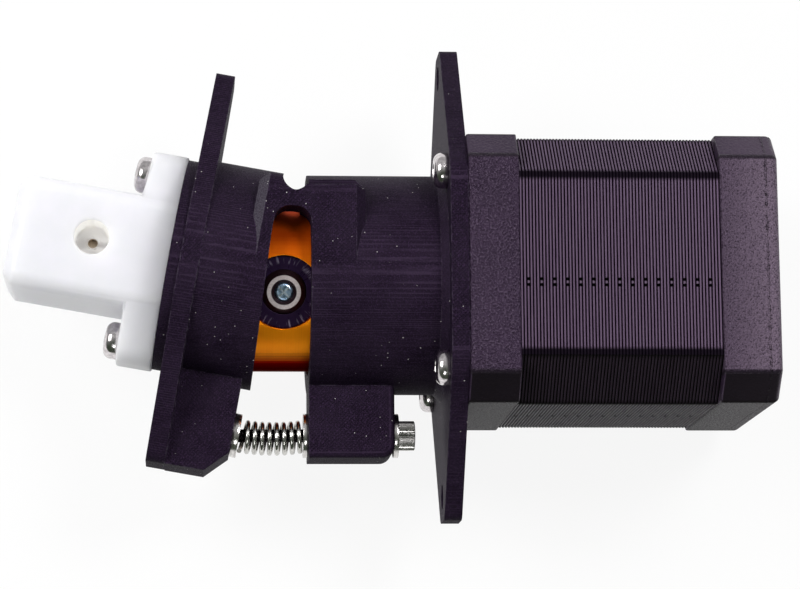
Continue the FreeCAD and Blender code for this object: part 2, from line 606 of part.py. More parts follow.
# Fluid head: square block of white polymer with an oval flange, bored for liner and seals
head_flange_corners = [
    ("head_half", "-(head_half - head_round)"), ("head_half", "head_half - head_round"),
    ("head_flange_tip", "head_flange_end"), ("-head_flange_tip", "head_flange_end"),
    ("-head_half", "head_half - head_round"), ("-head_half", "-(head_half - head_round)"),
    ("-head_flange_tip", "-head_flange_end"), ("head_flange_tip", "-head_flange_end"),
]
head_flange = plate("head_flange", head_flange_corners, HEAD_FACE, "head_flange_thick")
flange_end = size("head_flange_end")
round_corners(head_flange, "head_flange_ends", "head_flange_tip * 0.9",
              lambda edge: lies_along(edge, ALONG_X) and abs(edge.CenterOfMass.z) > flange_end - 0.01)
head_bar = box("head_bar", "head_length + head_flange_thick", "2 * head_half", "2 * head_half",
               HEAD_END, "-head_half", "-head_half")
soft_bar = rounded("soft_bar", head_bar, "head_round", lambda edge: lies_along(edge, ALONG_X))
head_end_x = size(HEAD_END)
beveled_bar = rounded("beveled_bar", soft_bar, "head_bevel",
                      lambda edge: edge.BoundBox.XMax < head_end_x + 0.01, "Part::Chamfer")
spigot = cylinder("spigot", "spigot_radius", "spigot_length + 1", f"{BOSS_FRONT} - 1")
head_stock = fuse("head_stock", head_flange, beveled_bar, spigot)
liner_bore = cylinder("liner_bore", "liner_radius", "liner_rear - liner_front", "liner_front")
seal_bore = cylinder("seal_bore", "seal_radius", f"{BOSS_FRONT} - retainer_thick - liner_rear", "liner_rear")
retainer_bore = cylinder("retainer_bore", "retainer_radius", "retainer_thick", f"{BOSS_FRONT} - retainer_thick")
spigot_bore = cylinder("spigot_bore", "retainer_radius", "spigot_length + 1", BOSS_FRONT)
ring_places = ("liner_front + 2", "liner_rear - 2 - groove_width")
ring_grooves = [cylinder(f"ring_groove_{index}", "liner_radius + 2 * ring_section", "groove_width", where)
                for index, where in enumerate(ring_places, start=1)]
ports = []
for side, sign in (("near", "-"), ("far", "")):
    deep = f"{sign}(head_half - port_depth)"
    facing = "-y" if sign else "y"
    ports.append(cylinder(f"{side}_port", "port_radius", "port_depth + 1", PORT_X, deep, "port_height",
                          facing))
    ports.append(cylinder(f"{side}_passage", "passage_radius", "head_half", PORT_X, "0", "port_height",
                          facing))
shank_holes = [cylinder(f"shank_hole_{sign}", "motor_screw_radius", "head_flange_thick + 2", f"{HEAD_FACE} - 1", "0",
                        f"{sign} * head_screw_z") for sign in (1, -1)]
tilt_about_hinge(keep(cut("head_block_cut", head_stock, liner_bore, seal_bore, retainer_bore, spigot_bore,
                          *ring_grooves, *ports, *shank_holes), "head_block"))

liner_tube = turned("liner_tube", [
    ("liner_front", "0"), ("liner_rear", "0"), ("liner_rear", "liner_radius"), ("liner_front", "liner_radius")])
liner_hole = cylinder("liner_hole", "piston_radius + piston_fit", "liner_rear - liner_front", "liner_front + liner_wall")
liner_passage = cylinder("liner_passage", "passage_radius", "4 * liner_radius", PORT_X, "-2 * liner_radius",
                         "port_height", "y")
tilt_about_hinge(keep(cut("liner_cut", liner_tube, liner_hole, liner_passage), "cylinder_liner"))

liner_rings = []
for index, where in enumerate(ring_places, start=1):
    torus = doc.addObject("Part::Torus", f"liner_ring_{index}")
    bind(torus, Radius1="liner_radius + ring_section", Radius2="ring_section")
    liner_rings.append(place(torus, f"{where} + groove_width / 2", "0", "0", "x"))
tilt_about_hinge(keep(group("liner_rings", liner_rings), "liner_o_rings"))

SEAL_STEP = f"(({BOSS_FRONT} - retainer_thick - liner_rear) / 2)"
seals = [turned(f"seal_{index}", [
    (f"liner_rear + {index} * {SEAL_STEP}", "piston_radius + seal_fit"),
    (f"liner_rear + {index} * {SEAL_STEP} + {SEAL_STEP}", "piston_radius + seal_fit + 0.6"),
    (f"liner_rear + {index} * {SEAL_STEP} + {SEAL_STEP}", "seal_radius"),
    (f"liner_rear + {index} * {SEAL_STEP}", "seal_radius")]) for index in (0, 1)]
tilt_about_hinge(keep(group("seals", seals), "piston_seals"))

retainer = ring("retainer", "retainer_radius", "piston_radius + 3 * seal_fit", "retainer_thick", f"{BOSS_FRONT} - retainer_thick")
tilt_about_hinge(keep(retainer, "seal_retainer"))

head_screws = []
for sign in (1, -1):
    screw = pan_screw(f"head_screw_{'upper' if sign > 0 else 'lower'}", "pan_radius + 0.15", "pan_height + 0.1",
                      "motor_screw_radius", f"front_wall - {HEAD_FACE} - 0.5", "1.3", "2.0")
    head_screws.append(place(screw, HEAD_FACE, "0", f"{sign} * head_screw_z", "-x"))
tilt_about_hinge(keep(group("head_screw_pair", head_screws), "head_screws"))

# Ceramic piston with its valving flat, and the steel cap that the drive pin turns
piston_rod = turned("piston_rod", [
    ("piston_front", "0"), ("piston_rear", "0"), ("piston_rear", "piston_radius"), ("piston_front", "piston_radius")])
flat_cutter = box("flat_cutter", "piston_flat_length + 1", "4 * piston_radius", "2 * piston_radius",
                  "piston_front - 1", "-2 * piston_radius", "piston_radius - piston_flat")
tilt_about_hinge(keep(cut("piston_cut", piston_rod, flat_cutter), "piston"))

cap_stock = turned("cap_stock", [
    ("cap_front", "0"), ("cap_rear", "0"), ("cap_rear", "cap_radius - hub_edge"), ("cap_rear - hub_edge", "cap_radius"),
    ("cap_front + hub_edge", "cap_radius"), ("cap_front", "cap_radius - hub_edge")])
cap_bore = cylinder("cap_bore", "piston_radius + piston_fit", "cap_bore_end - cap_front + 1", "cap_front - 1")
cap_slot_cutter = box("cap_slot_cutter", "2 * cap_slot_half", "2 * cap_radius", "2 * cap_slot_side",
                      "0", "0", "0")
cap_slot_turn = FreeCAD.Rotation(FreeCAD.Vector(1, 0, 0), 1)
cap_slot_cutter.Placement = FreeCAD.Placement(FreeCAD.Vector(), cap_slot_turn)
cap_slot_cutter.setExpression("Placement.Rotation.Angle", formula("rotor_angle"))
cap_slot_cutter.setExpression("Placement.Base.x", formula("cap_slot_x - cap_slot_half"))
cap_slot_cutter.setExpression(
    "Placement.Base.y", formula("-(2 * cap_radius + 0.8) * cos(rotor_angle) + cap_slot_side * sin(rotor_angle)"))
cap_slot_cutter.setExpression(
    "Placement.Base.z", formula("-(2 * cap_radius + 0.8) * sin(rotor_angle) - cap_slot_side * cos(rotor_angle)"))
tilt_about_hinge(keep(cut("piston_cap_cut", cap_stock, cap_bore, cap_slot_cutter), "piston_cap"))

# Drive: the hub on the motor shaft carries a swivelling ball off centre, and a pin links it to the cap
hub_stock = turned("hub_stock", [
    ("hub_front", "hub_cavity"), ("hub_front", "hub_radius - hub_edge"), ("hub_front + hub_edge", "hub_radius"),
    ("hub_step - hub_edge", "hub_radius"), ("hub_step", "hub_radius - hub_edge"), ("hub_step", "hub_boss"),
    ("hub_rear", "hub_boss"), ("hub_rear", "shaft_radius"), ("hub_floor", "shaft_radius"), ("hub_floor", "hub_cavity")])
race_seat = cylinder("race_seat", "race_radius", "hub_radius", "ball_x", "0", "0", "-y")
SET_SCREW_LENGTH = "(hub_boss - shaft_radius - 0.5)"
set_screw_holes = [
    cylinder("set_screw_hole_1", "set_screw_radius", "hub_boss", "set_screw_x", "0", "0", "-y"),
    cylinder("set_screw_hole_2", "set_screw_radius", "hub_boss", "set_screw_x", "0", "0", "z"),
]
turn_with_rotor(keep(cut("hub_cut", hub_stock, race_seat, *set_screw_holes), "drive_hub"))

set_screws = []
for index, along in ((1, "-y"), (2, "z")):
    y = "-(hub_boss - 0.5)" if along == "-y" else "0"
    z = "0" if along == "-y" else "hub_boss - 0.5"
    rod = cylinder(f"set_screw_rod_{index}", "set_screw_radius", SET_SCREW_LENGTH,
                   "set_screw_x", "-shaft_radius" if index == 1 else "0", "0" if index == 1 else "shaft_radius", along)
    hexagon = doc.addObject("Part::Prism", f"set_screw_hexagon_{index}")
    hexagon.Polygon = 6
    bind(hexagon, Circumradius="1.5 / 1.7320508", Height="2")
    inward = f"({y}) + 1.5" if along == "-y" else "0"
    upward = f"({z}) - 1.5" if along == "z" else "0"
    place(hexagon, "set_screw_x", inward, upward, along)
    set_screws.append(cut(f"set_screw_{index}", rod, hexagon))
turn_with_rotor(keep(group("set_screw_pair", set_screws), "hub_set_screws"))

race_disc = cylinder("race_disc", "race_radius", "2 * race_half", "ball_x", "-(ball_orbit - race_half)", "0", "-y")
race_room = doc.addObject("Part::Sphere", "race_room")
bind(race_room, Radius="ball_radius + ball_fit")
place(race_room, "ball_x", "-ball_orbit", "0")
turn_with_rotor(keep(cut("ball_race_cut", race_disc, race_room), "ball_race"))

ball_sphere = doc.addObject("Part::Sphere", "ball_sphere")
bind(ball_sphere, Radius="ball_radius")
place(ball_sphere, "ball_x", "-ball_orbit", "0")
ball_width = box("ball_width", "2 * ball_radius", "2 * ball_half", "2 * ball_radius",
                 "ball_x - ball_radius", "-ball_orbit - ball_half", "-ball_radius")
ball_body = common("ball_body", ball_sphere, ball_width)
ball_bore = cylinder("ball_bore", "pin_radius", "2 * ball_radius", "ball_x", "-(ball_orbit - ball_radius)", "0", "-y")
ball_sink = tapered("ball_sink", "pin_radius", "pin_radius + 2 * pin_sink", "2 * pin_sink",
                    "ball_x", "-(ball_orbit + ball_half - pin_sink)", "0", "-y")
turn_with_rotor(keep(cut("drive_ball_cut", ball_body, ball_bore, ball_sink), "drive_ball"))

pin_rod = cylinder("pin_rod", "pin_radius", "pin_outer - pin_inner", "ball_x", "-pin_inner", "0", "-y")
pin_top = rounded("pin_top", pin_rod, "0.3", lambda edge: edge.BoundBox.YLength < 0.01, "Part::Chamfer")
turn_with_rotor(keep(pin_top, "drive_pin"))

# Tilt adjuster: cap screw through the rear lug, spring between the lugs, nut in the front lug
WASHER_X = REAR_LUG_END
SCREW_HEAD_X = f"({REAR_LUG_END} + washer_thick)"
head_stock_x = cylinder("cap_head", "cap_head_radius", "cap_head_height", SCREW_HEAD_X, "0", "screw_z")
cap_head_end = size(SCREW_HEAD_X) + size("cap_head_height")
cap_head = rounded("cap_head_round", head_stock_x, "0.3", lambda edge: edge.BoundBox.XMin > cap_head_end - 0.01, "Part::Chamfer")
screw_rod = cylinder("screw_rod", "screw_radius", "screw_length", f"{SCREW_HEAD_X} - screw_length", "0", "screw_z")
screw_socket = doc.addObject("Part::Prism", "screw_socket")
screw_socket.Polygon = 6
bind(screw_socket, Circumradius="hex_across / 1.7320508", Height="cap_head_height")
place(screw_socket, f"{SCREW_HEAD_X} + cap_head_height * 0.5", "0", "screw_z", "x")
keep(cut("adjusting_screw_cut", fuse("screw_whole", cap_head, screw_rod), screw_socket), "adjusting_screw")
keep(ring("adjuster_washer_ring", "washer_radius", "screw_radius + screw_fit", "washer_thick", WASHER_X, "0", "screw_z"),
     "adjuster_washer")
keep(ring("rear_seat_ring", "washer_radius", "screw_radius + screw_fit", "washer_thick", f"{REAR_FACE} - washer_thick", "0", "screw_z"),
     "rear_spring_washer")
front_seat = ring("front_seat_ring", "washer_radius", "front_washer_hole", "washer_thick + 0.3", "front_lug_rear", "0", "lug_slot_z + 0.25")
tilt_about_hinge(keep(front_seat, "front_spring_washer"))
nut_block = box("nut_block", "nut_thick", "nut_width", "nut_height", NUT_X, "-nut_width / 2", "lug_slot_z - nut_height / 2")
nut_slot = slot("nut_slot", "screw_radius + screw_fit", "lug_slot_reach + 0.1", "nut_thick + 2", f"{NUT_X} - 1", "0", "lug_slot_z")
tilt_about_hinge(keep(cut("tilt_nut_cut", nut_block, nut_slot), "tilt_nut"))


def spring_shape():
    """Compression spring between the two washers, wound round the adjusting screw."""
    wire = size("wire_radius")
    rear_end = size(REAR_FACE) - size("washer_thick") - wire
    washer = FreeCAD.Vector(size("front_lug_rear + washer_thick + 0.3 - hinge_x"), 0, size("screw_z - hinge_z"))
    lean = math.radians(size("tilt"))
    reach = (washer.x + math.sin(lean) * (washer.z + size("coil_radius") + wire)) / math.cos(lean)
    front_end = size("hinge_x") + reach + wire + 0.05
    length = rear_end - front_end
    helix = Part.makeHelix(length / size("coil_count"), length, size("coil_radius"))
    circle = Part.makeCircle(wire, FreeCAD.Vector(size("coil_radius"), 0, 0), ALONG_Y)
    coil = Part.Wire(helix).makePipeShell([Part.Wire(circle)], True, True)
    coil.rotate(FreeCAD.Vector(), ALONG_Y, 90)
    coil.translate(FreeCAD.Vector(front_end, 0, size("screw_z")))
    return coil


spring = doc.addObject("Part::Feature", "spring_coil")
spring.Shape = spring_shape()
keep(spring, "tilt_spring")

# Stepper motor: cast endbells, laminated stack, winding, rotor, shaft and bearings
FRONT_BEARING = "(flange_thick + 1)"
REAR_BEARING = f"({STACK_REAR} + 2)"
front_bell_block = square_with_bevels("front_bell_block", "motor_side", "bell_bevel", MOTOR_FACE, "bell_front_length")
pilot = cylinder("pilot", "pilot_radius", "pilot_length + 1", f"{MOTOR_FACE} - pilot_length")
front_bell_stock = fuse("front_bell_stock", front_bell_block, pilot)
front_bell_room = ring("front_bell_room", "bell_room", "bearing_wall", "overhang + 1", f"{STACK_FRONT} - overhang")
front_bell_seat = cylinder("front_bell_seat", "bearing_radius", FAR, FRONT_BEARING)
front_bell_bore = cylinder("front_bell_bore", "outer_ring", FAR, f"{FRONT_BEARING} - 50")
front_bell_holes = at_motor_corners("front_bell_hole", lambda name, y, z: cylinder(
    name, "motor_screw_radius", "bell_front_length + 2", f"{MOTOR_FACE} - 1", y, z))
keep(cut("front_bell_cut", front_bell_stock, front_bell_room, front_bell_seat, front_bell_bore, *front_bell_holes),
     "motor_front_endbell")

stack_block = square_with_bevels("stack_block", "stack_side", "stack_bevel", STACK_FRONT, "stack_length")
stack_bore = cylinder("stack_bore", "rotor_radius + air_gap", FAR, f"{STACK_FRONT} - 50")
stack_holes = at_motor_corners("stack_hole", lambda name, y, z: cylinder(
    name, "motor_screw_radius", "stack_length + 2", f"{STACK_FRONT} - 1", y, z))


def radial_bar(name, half_width, inner, depth, start, length, angle):
    """Straight bar along X standing on a radius at an angle about the motor axis."""
    bar = box(name, length, f"2 * ({half_width})", depth, "0", "0", "0")
    bar.Placement = FreeCAD.Placement(FreeCAD.Vector(), FreeCAD.Rotation(ALONG_X, angle))
    bar.setExpression("Placement.Base.x", formula(start))
    bar.setExpression("Placement.Base.y", formula(f"-({half_width}) * cos({angle}) - ({inner}) * sin({angle})"))
    bar.setExpression("Placement.Base.z", formula(f"({inner}) * cos({angle}) - ({half_width}) * sin({angle})"))
    return bar


POLE_ANGLES = [45.0 * index + 22.5 for index in range(8)]
winding_slots = [radial_bar(f"winding_slot_{index}", "winding_half_width", "winding_inner", "winding_depth",
                            STACK_FRONT, "stack_length", angle) for index, angle in enumerate(POLE_ANGLES)]
keep(cut("stack_cut", stack_block, stack_bore, *stack_holes, *winding_slots), "stator_stack")

winding_bars = [radial_bar(f"winding_bar_{index}", "winding_half_width - winding_fit", "winding_inner + winding_fit",
                           "winding_depth - 2 * winding_fit", f"{STACK_FRONT} - overhang + 0.5",
                           "stack_length + 2 * overhang - 1", angle) for index, angle in enumerate(POLE_ANGLES)]
end_turns = [ring(f"{side}_end_turns", "end_turn_outer", "end_turn_inner", "overhang - 1.5", where)
             for side, where in (("front", f"{STACK_FRONT} - overhang + 0.5"), ("rear", f"{STACK_REAR} + 1"))]
keep(fuse("winding_whole", *winding_bars, *end_turns), "stator_winding")

rear_bell_block = square_with_bevels("rear_bell_block", "motor_side", "bell_bevel", STACK_REAR, "bell_rear_length")
motor_rear = size(MOTOR_REAR)
round_corners(rear_bell_block, "rear_bell_rim", "rim_round", lambda edge: edge.BoundBox.XMin > motor_rear - 0.01)
rear_bell_room = ring("rear_bell_room", "bell_room", "bearing_wall", "overhang + 1", f"{STACK_REAR} - 1")
rear_bell_seat = cylinder("rear_bell_seat", "bearing_radius", "bearing_width + 2.7", f"{STACK_REAR} - 0.1")
rear_bell_bore = cylinder("rear_bell_bore", "outer_ring", "bell_rear_length - 1.5", f"{STACK_REAR} - 0.1")
rear_bell_holes = at_motor_corners("rear_bell_hole", lambda name, y, z: cylinder(
    name, "motor_screw_radius", "bell_rear_length + 2", f"{STACK_REAR} - 1", y, z))
rear_bell_sinks = at_motor_corners("rear_bell_sink", lambda name, y, z: cylinder(
    name, "pan_radius + 0.1", "3", f"{MOTOR_REAR} - 2", y, z))
SOCKET_X = f"({STACK_REAR} + 1.5)"
socket_opening = box("socket_opening", "socket_depth", FAR, "socket_width", SOCKET_X, "motor_side / 2 - 2.4", "-socket_width / 2")
keep(cut("rear_bell_cut", rear_bell_block, rear_bell_room, rear_bell_seat, rear_bell_bore, *rear_bell_holes,
         *rear_bell_sinks, socket_opening), "motor_rear_endbell")

through_screws = []
for index, (sy, sz) in enumerate([(1, 1), (-1, 1), (-1, -1), (1, -1)], start=1):
    screw = pan_screw(f"through_screw_{index}", "pan_radius", "1.9", "motor_screw_radius",
                      f"{MOTOR_REAR} - 2 - mount_screw_length - 1", "0.6", "2.0")
    through_screws.append(place(screw, f"{MOTOR_REAR} - 2", f"{sy} * mount_pitch / 2", f"{sz} * mount_pitch / 2", "x"))
keep(group("through_screw_set", through_screws), "motor_through_screws")

mounting_screws = []
for index, (sy, sz) in enumerate([(1, 1), (-1, 1), (-1, -1), (1, -1)], start=1):
    screw = pan_screw(f"mounting_screw_{index}", "pan_radius", "pan_height", "motor_screw_radius",
                      "mount_screw_length", "1.3", "2.0")
    mounting_screws.append(place(screw, "0", f"{sy} * mount_pitch / 2", f"{sz} * mount_pitch / 2", "-x"))
keep(group("mounting_screw_set", mounting_screws), "mounting_screws")

shaft = turned("shaft", [
    (f"{MOTOR_FACE} - shaft_reach", "0"), (f"{MOTOR_REAR} - 2", "0"), (f"{MOTOR_REAR} - 2", "shaft_radius"),
    (f"{MOTOR_FACE} - shaft_reach + 0.5", "shaft_radius"), (f"{MOTOR_FACE} - shaft_reach", "shaft_radius - 0.5")])
turn_with_rotor(keep(shaft, "motor_shaft"))


def rotor_ring(name, start, length, outside):
    return ring(name, outside, "shaft_radius", length, start)


CORE_LENGTH = "((stack_length - magnet_thick) / 2 - core_inset)"
rotor_cores = [rotor_ring("front_core", f"{STACK_FRONT} + core_inset", CORE_LENGTH, "rotor_radius"),
               rotor_ring("rear_core", f"{STACK_REAR} - core_inset - {CORE_LENGTH}", CORE_LENGTH, "rotor_radius")]
keep(group("rotor_core_pair", rotor_cores), "rotor_cores")
keep(rotor_ring("rotor_magnet_ring", f"{STACK_FRONT} + core_inset + {CORE_LENGTH}", "magnet_thick",
                "rotor_radius - magnet_step"), "rotor_magnet")
bearings = ((FRONT_BEARING, "front"), (REAR_BEARING, "rear"))
keep(group("outer_ring_pair", [ring(f"{side}_outer_ring", "bearing_radius", "outer_ring", "bearing_width", where)
                               for where, side in bearings]), "bearing_outer_rings")
keep(group("inner_ring_pair", [ring(f"{side}_inner_ring", "inner_ring", "shaft_radius", "bearing_width", where)
                               for where, side in bearings]), "bearing_inner_rings")
bearing_balls = []
ball_total = int(size("ball_count"))
ball_pitch = (size("inner_ring") + size("outer_ring")) / 2
for where, side in bearings:
    for index in range(ball_total):
        sphere = doc.addObject("Part::Sphere", f"{side}_ball_{index}")
        bind(sphere, Radius="(outer_ring - inner_ring) / 2 - 0.05")
        angle = 2 * math.pi * index / ball_total
        sphere.Placement.Base = FreeCAD.Vector(0, ball_pitch * math.cos(angle), ball_pitch * math.sin(angle))
        sphere.setExpression("Placement.Base.x", formula(f"{where} + bearing_width / 2"))
        bearing_balls.append(sphere)
keep(group("bearing_ball_set", bearing_balls), "bearing_balls")
keep(ring("wave_ring", "bearing_radius - 0.2", "outer_ring", "0.5", f"{REAR_BEARING} + bearing_width"), "bearing_wave_washer")

socket_shell = box("socket_shell", "socket_depth", "socket_reach + 2.4", "socket_width", SOCKET_X, "motor_side / 2 - 2.4", "-socket_width / 2")
socket_room = box("socket_room", "socket_depth - 1.2", "socket_reach + 2", "socket_width - 1.6",
                  f"{SOCKET_X} + 0.6", "motor_side / 2 - 1.6", "-socket_width / 2 + 0.8")
socket_pin_holes = []
socket_pins = []
for index in range(6):
    height = f"{index - 2.5} * 2.0 - 0.25"
    for holder, label in ((socket_pin_holes, "hole"), (socket_pins, "pin")):
        holder.append(box(f"socket_{label}_{index}", "0.5", "socket_reach + 1", "0.5",
                          f"{SOCKET_X} + socket_depth / 2 - 0.25", "motor_side / 2 - 2.4", height))
keep(cut("socket_cut", socket_shell, socket_room, *socket_pin_holes), "motor_socket")
keep(group("socket_pin_set", socket_pins), "motor_socket_pins")

doc.recompute()
for feature in doc.Objects:
    if "Invalid" in feature.State or "Error" in feature.State:
        raise RuntimeError(f"{feature.Name} failed: {feature.State}")
for node in NODES:
    if node.Shape.isNull() or not node.Shape.isValid() or not node.Shape.Solids:
        raise RuntimeError(f"{node.Label} has no sound shape")

os.makedirs("parts", exist_ok=True)
for node in NODES:
    node.Shape.exportStep(f"parts/{node.Label}.step")
    bounds = node.Shape.BoundBox
    print(f"{node.Label:24s} solids {len(node.Shape.Solids):2d} volume {node.Shape.Volume:9.1f}"
          f" x {bounds.XMin:7.2f} {bounds.XMax:7.2f} y {bounds.YMin:7.2f} {bounds.YMax:7.2f}"
          f" z {bounds.ZMin:7.2f} {bounds.ZMax:7.2f}")
print("nodes", len(NODES))
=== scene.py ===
import math

import bpy
from mathutils import Matrix, Vector


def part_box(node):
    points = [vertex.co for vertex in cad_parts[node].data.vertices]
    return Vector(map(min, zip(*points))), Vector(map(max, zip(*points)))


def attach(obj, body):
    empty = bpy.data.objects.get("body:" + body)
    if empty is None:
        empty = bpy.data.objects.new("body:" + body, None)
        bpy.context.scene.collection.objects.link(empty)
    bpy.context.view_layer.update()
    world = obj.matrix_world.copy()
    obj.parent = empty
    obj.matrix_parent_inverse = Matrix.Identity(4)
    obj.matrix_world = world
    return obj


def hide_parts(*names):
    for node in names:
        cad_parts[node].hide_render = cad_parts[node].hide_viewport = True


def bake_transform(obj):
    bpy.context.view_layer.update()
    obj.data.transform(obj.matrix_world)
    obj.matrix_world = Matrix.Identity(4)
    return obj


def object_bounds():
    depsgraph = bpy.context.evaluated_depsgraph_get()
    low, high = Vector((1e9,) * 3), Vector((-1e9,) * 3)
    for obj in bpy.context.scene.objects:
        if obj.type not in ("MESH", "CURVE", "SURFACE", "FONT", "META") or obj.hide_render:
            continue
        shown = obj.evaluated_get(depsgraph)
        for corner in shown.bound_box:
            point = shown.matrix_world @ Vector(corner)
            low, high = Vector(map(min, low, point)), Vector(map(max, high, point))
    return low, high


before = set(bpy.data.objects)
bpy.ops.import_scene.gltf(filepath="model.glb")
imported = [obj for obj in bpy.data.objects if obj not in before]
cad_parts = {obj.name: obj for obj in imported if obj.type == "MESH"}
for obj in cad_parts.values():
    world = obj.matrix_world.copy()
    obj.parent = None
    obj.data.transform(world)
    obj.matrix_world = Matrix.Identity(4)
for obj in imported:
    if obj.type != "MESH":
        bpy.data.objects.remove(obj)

cad_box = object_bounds()
scene = bpy.context.scene
scene.view_settings.view_transform = "Standard"

# Camera: a long lens on the near side, a little below the motor axis, as the pump
# lies on its far side on a pale table and is photographed from above.
CAMERA_PLACE = Vector((-0.04144, -0.4769, -0.08488))
CAMERA_PITCH = 9.9
CAMERA_YAW = -4.2
CAMERA_ROLL = -0.48
FOCAL_PIXELS = 3036
PHOTO_WIDTH = 800
SENSOR_WIDTH = 36
NEAREST_SEEN = 0.01

camera_data = bpy.data.cameras.new("camera")
camera_data.sensor_width = SENSOR_WIDTH
camera_data.lens = FOCAL_PIXELS / PHOTO_WIDTH * SENSOR_WIDTH
camera_data.clip_start = NEAREST_SEEN
camera = bpy.data.objects.new("camera", camera_data)
scene.collection.objects.link(camera)
camera.location = CAMERA_PLACE
camera.rotation_mode = "QUATERNION"
level = Matrix.Rotation(math.radians(CAMERA_YAW), 4, "Z")
pitched = level @ Matrix.Rotation(math.radians(90 + CAMERA_PITCH), 4, "X")
rolled = pitched @ Matrix.Rotation(math.radians(CAMERA_ROLL), 4, "Z")
camera.rotation_quaternion = rolled.to_quaternion()
scene.camera = camera

# Table: a plain pale sheet behind the pump, which lies on its far side. It shows white to the
# camera, in reflections and through clear things, and keeps the shadow. Its back is clear.
TABLE_SIZE = 4
TABLE_GAP = 0.001
PAPER_SHADE = 0.9
WHITE_SHARE = 0.9


def combined(tree, operation, *values):
    """Values put together, each a number or a socket."""
    node = tree.nodes.new("ShaderNodeMath")
    node.operation = operation
    for socket, value in zip(node.inputs, values):
        if isinstance(value, (int, float)):
            socket.default_value = value
        else:
            tree.links.new(value, socket)
    return node.outputs[0]


def laid_over(tree, share, under, over):
    """One surface over another, by a share."""
    mix = tree.nodes.new("ShaderNodeMixShader")
    tree.links.new(share, mix.inputs["Fac"])
    tree.links.new(under.outputs[0], mix.inputs[1])
    tree.links.new(over.outputs[0], mix.inputs[2])
    return mix


bpy.ops.object.select_all(action="DESELECT")
bpy.ops.mesh.primitive_plane_add(size=TABLE_SIZE, location=(0, cad_box[1].y + TABLE_GAP, 0),
                                 rotation=(math.radians(90), 0, 0))
table = bpy.context.active_object
table.name = "table"
paper = bpy.data.materials.new("pale_paper")
paper.use_nodes = True
tree = paper.node_tree
tree.nodes.clear()
matte = tree.nodes.new("ShaderNodeBsdfDiffuse")
matte.inputs["Color"].default_value = (PAPER_SHADE, PAPER_SHADE, PAPER_SHADE, 1)
glow = tree.nodes.new("ShaderNodeEmission")
glow.inputs["Color"].default_value = (1, 1, 1, 1)
path = tree.nodes.new("ShaderNodeLightPath")
seen = combined(tree, "MAXIMUM", path.outputs["Is Camera Ray"], path.outputs["Is Glossy Ray"])
seen = combined(tree, "MAXIMUM", seen, path.outputs["Is Transmission Ray"])
sheet = laid_over(tree, combined(tree, "MULTIPLY", seen, WHITE_SHARE), matte, glow)
side = tree.nodes.new("ShaderNodeNewGeometry")
clear = tree.nodes.new("ShaderNodeBsdfTransparent")
sheet = laid_over(tree, side.outputs["Backfacing"], sheet, clear)
out = tree.nodes.new("ShaderNodeOutputMaterial")
tree.links.new(sheet.outputs[0], out.inputs["Surface"])
table.data.materials.append(paper)

# Light: a soft room, brighter above and dim and slightly green below, with a broad lamp on the
# head's side, a weaker one towards the motor's end and a faint one below. The camera sees white.
ROOM_HIGH = 0.50
ROOM_LOW = 0.07
LOW_TINT = (0.80, 1.0, 0.70)
ROOM_FADE = 0.6


def sides_of(tree, vector):
    """The X, Y and Z parts of a vector."""
    split = tree.nodes.new("ShaderNodeSeparateXYZ")
    tree.links.new(vector, split.inputs["Vector"])
    return split.outputs["X"], split.outputs["Y"], split.outputs["Z"]


def graded(tree, value, start, end, low, high, profile="LINEAR"):
    """Value spread from one range to another, held at its ends."""
    spread = tree.nodes.new("ShaderNodeMapRange")
    spread.interpolation_type = profile
    for name, limit in (("From Min", start), ("From Max", end), ("To Min", low), ("To Max", high)):
        spread.inputs[name].default_value = limit
    tree.links.new(value, spread.inputs["Value"])
    return spread.outputs["Result"]


def tinted(tree, factor, first, second):
    """Colour between two, by a factor; either may be a colour or a socket."""
    mix = tree.nodes.new("ShaderNodeMix")
    mix.data_type = "RGBA"
    tree.links.new(factor, mix.inputs["Factor"])
    for socket, colour in ((mix.inputs[6], first), (mix.inputs[7], second)):
        if isinstance(colour, tuple):
            socket.default_value = (*colour, 1)
        else:
            tree.links.new(colour, socket)
    return mix.outputs[2]


def lamp(name, place, aim, width, strength):
    """A square lamp that faces the place it lights."""
    data = bpy.data.lights.new(name, "AREA")
    data.size = width
    data.energy = strength
    light = bpy.data.objects.new(name, data)
    scene.collection.objects.link(light)
    light.location = place
    light.rotation_mode = "QUATERNION"
    light.rotation_quaternion = (Vector(aim) - Vector(place)).to_track_quat("-Z", "Y")


world = bpy.data.worlds.new("room")
scene.world = world
world.use_nodes = True
tree = world.node_tree
direction = tree.nodes.new("ShaderNodeTexCoord")
height = sides_of(tree, direction.outputs["Generated"])[2]
height = graded(tree, height, -ROOM_FADE, ROOM_FADE, 0, 1, "SMOOTHSTEP")
air = tinted(tree, height, tuple(ROOM_LOW * part for part in LOW_TINT), (ROOM_HIGH,) * 3)
path = tree.nodes.new("ShaderNodeLightPath")
tree.links.new(tinted(tree, path.outputs["Is Camera Ray"], air, (1, 1, 1)),
               tree.nodes["Background"].inputs["Color"])
lamp("key", place=(-0.42, -0.46, 0.12), aim=(-0.02, 0, 0), width=0.30, strength=2.5)
lamp("low", place=(-0.03, -0.30, -0.30), aim=(-0.02, 0, 0), width=0.10, strength=0.20)
lamp("motor_end", place=(0.22, -0.50, 0.16), aim=(0.04, 0, 0), width=0.16, strength=1.5)

# Rotor: ground steel shaft with two toothed cores either side of a magnet, all pressed on. Two
# ball bearings carry it in the endbells, and a wave washer takes up its play.
HAZE_GRAIN = 0.0015
TOOL_MARK_SHADE = 0.7
SMOOTH_SHARE = 0.7
ROUGH_SHARE = 1.5


